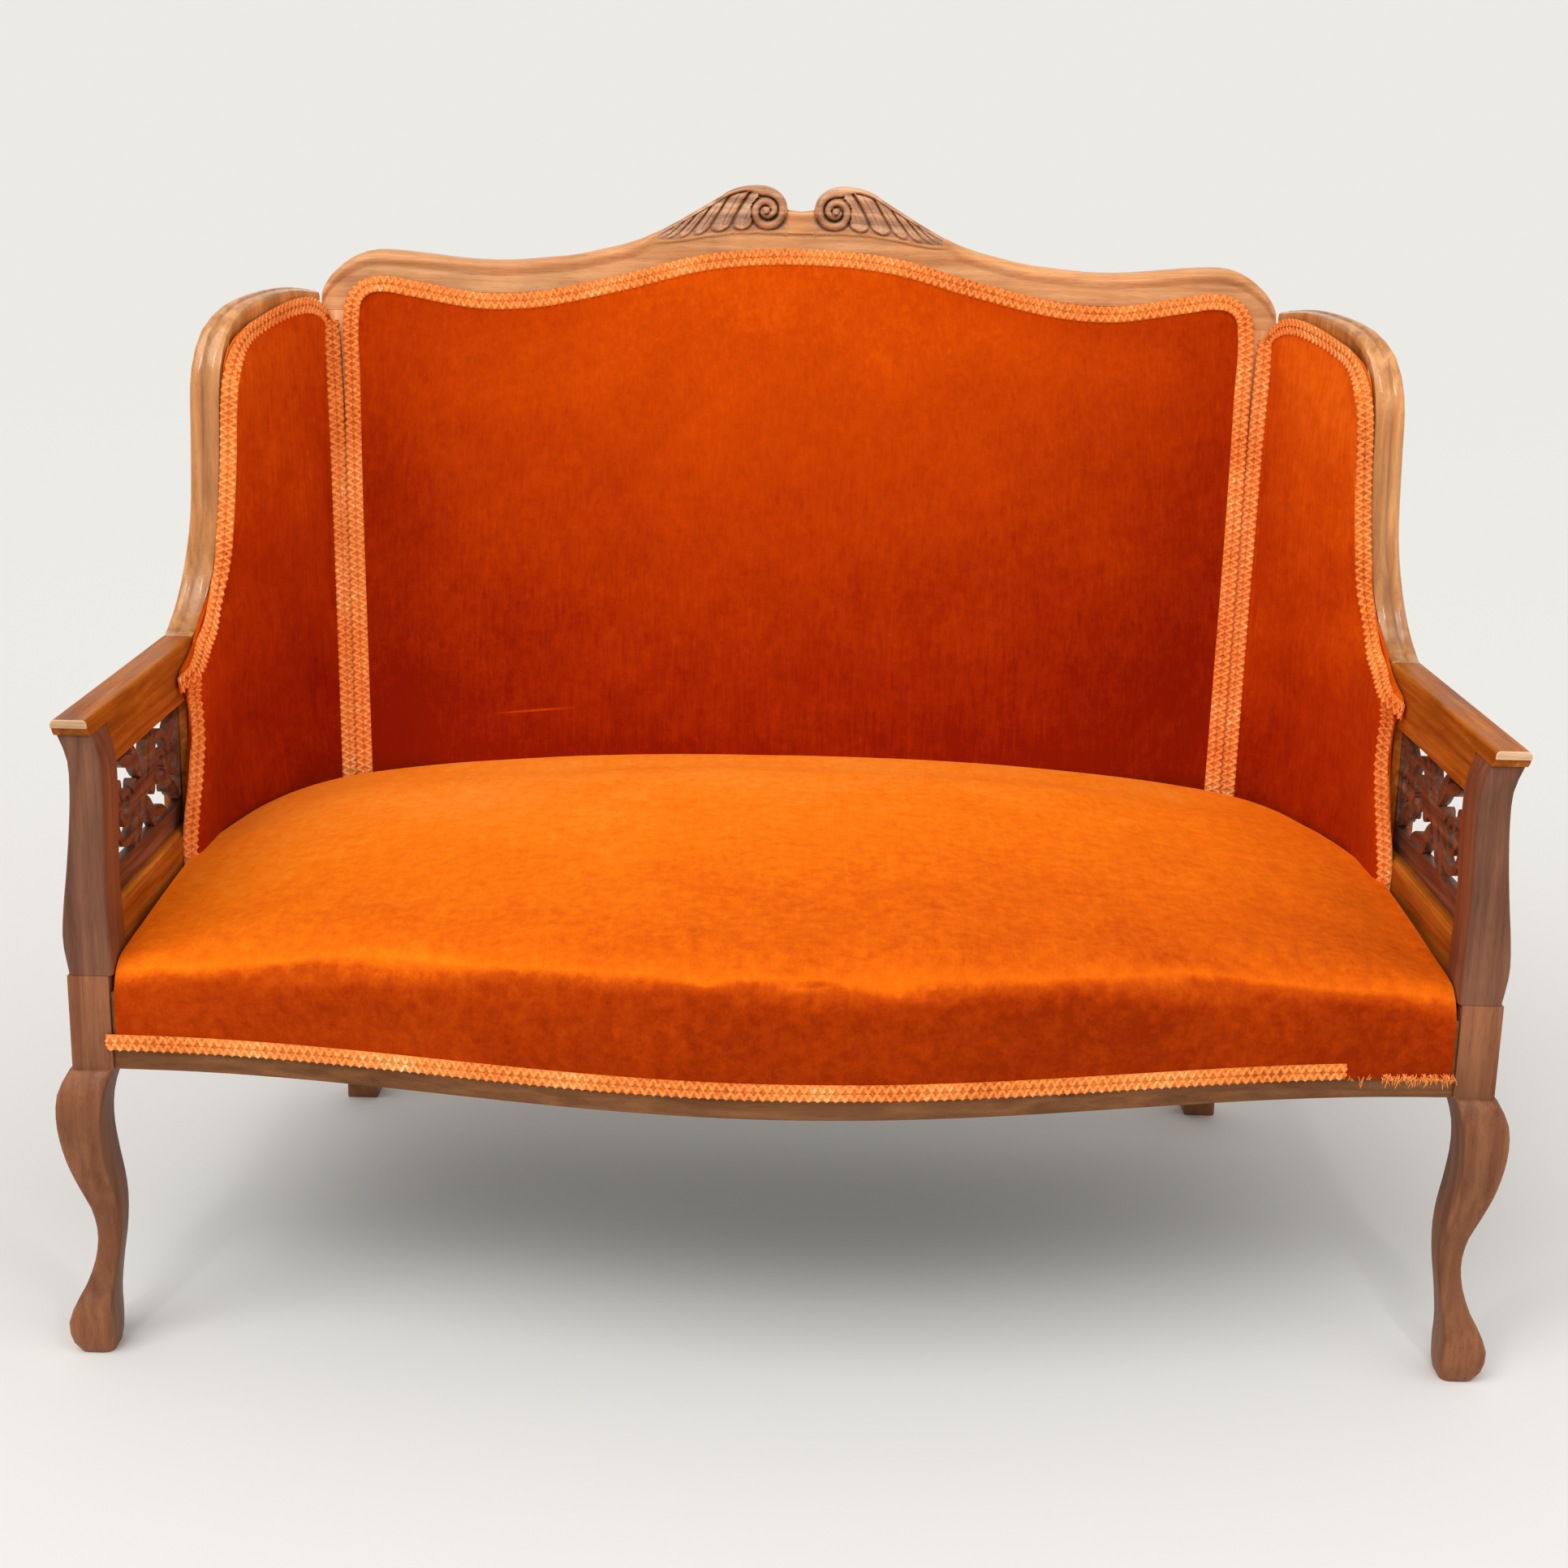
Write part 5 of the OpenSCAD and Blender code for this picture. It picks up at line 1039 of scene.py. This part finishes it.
# Studio: a pale seamless floor that only takes the settee's shadow, and soft light from above the
# front. Broad suns light the floor evenly, so it runs into the background without a line.
half_floor = 40
floor = mesh_piece("floor", [(x * half_floor, y * half_floor, 0)
                             for x, y in ((-1, -1), (1, -1), (1, 1), (-1, 1))], [(0, 1, 2, 3)])
pale_floor, tree, out = new_material("pale_studio_floor")
matt = add(tree, "BsdfDiffuse", {"Color": linear("#EEEDEA")})
# Further out the floor fades into the background of the same colour
place = add(tree, "TexCoord").outputs["Object"]
reach = add(tree, "VectorMath", {"operation": "LENGTH"}, {0: place}).outputs["Value"]
gone = add(tree, "MapRange", {"From Min": 3.0, "From Max": 9.0}, {"Value": reach})
clear = add(tree, "BsdfTransparent")
both = add(tree, "MixShader", links={0: gone, 1: matt, 2: clear})
tree.links.new(both.outputs[0], out.inputs["Surface"])
floor.data.materials.append(pale_floor)

world = bpy.data.worlds.new("studio")
scene.world = world
world.use_nodes = True
tree = world.node_tree
tree.nodes.clear()
path = add(tree, "LightPath")
seen = add(tree, "Math", {"operation": "MAXIMUM"},
           {0: path.outputs["Is Camera Ray"], 1: path.outputs["Is Glossy Ray"]})
seen = add(tree, "Math", {"operation": "MAXIMUM"}, {0: seen, 1: path.outputs["Is Transmission Ray"]})
ambient = add(tree, "Background", {"Color": linear("#FBF9F5"), "Strength": 0.56})
white = add(tree, "Background", {"Color": linear("#ECEAE5"), "Strength": 1.0})
choice = add(tree, "MixShader", links={0: seen, 1: ambient, 2: white})
sky = tree.nodes.new("ShaderNodeOutputWorld")
tree.links.new(choice.outputs[0], sky.inputs["Surface"])

# Key from above the left, fill from above the right: direction to the lamp, strength and softness
suns = (("key", (-0.45, -0.75, 1.0), 1.50, 50), ("fill", (0.8, -0.6, 0.7), 0.50, 70))
for name, way, power, softness in suns:
    lamp = bpy.data.objects.new(name, bpy.data.lights.new(name, "SUN"))
    lamp.data.energy = power
    lamp.data.angle = math.radians(softness)
    lamp.rotation_euler = Vector(way).to_track_quat("Z", "Y").to_euler()
    scene.collection.objects.link(lamp)
# Two narrow lamps draw the streaks of light along the polished mouldings
aim = Vector((0, 0, 0.7))
for name, x in (("streak_left", -0.9), ("streak_right", 0.7)):
    lamp = bpy.data.objects.new(name, bpy.data.lights.new(name, "AREA"))
    lamp.data.shape = "RECTANGLE"
    lamp.data.size = 0.10
    lamp.data.size_y = 0.6
    lamp.data.energy = 4.5
    lamp.location = (x, -1.8, 1.9)
    lamp.rotation_euler = (aim - lamp.location).to_track_quat("-Z", "Y").to_euler()
    scene.collection.objects.link(lamp)
scene.view_settings.view_transform = "Standard"
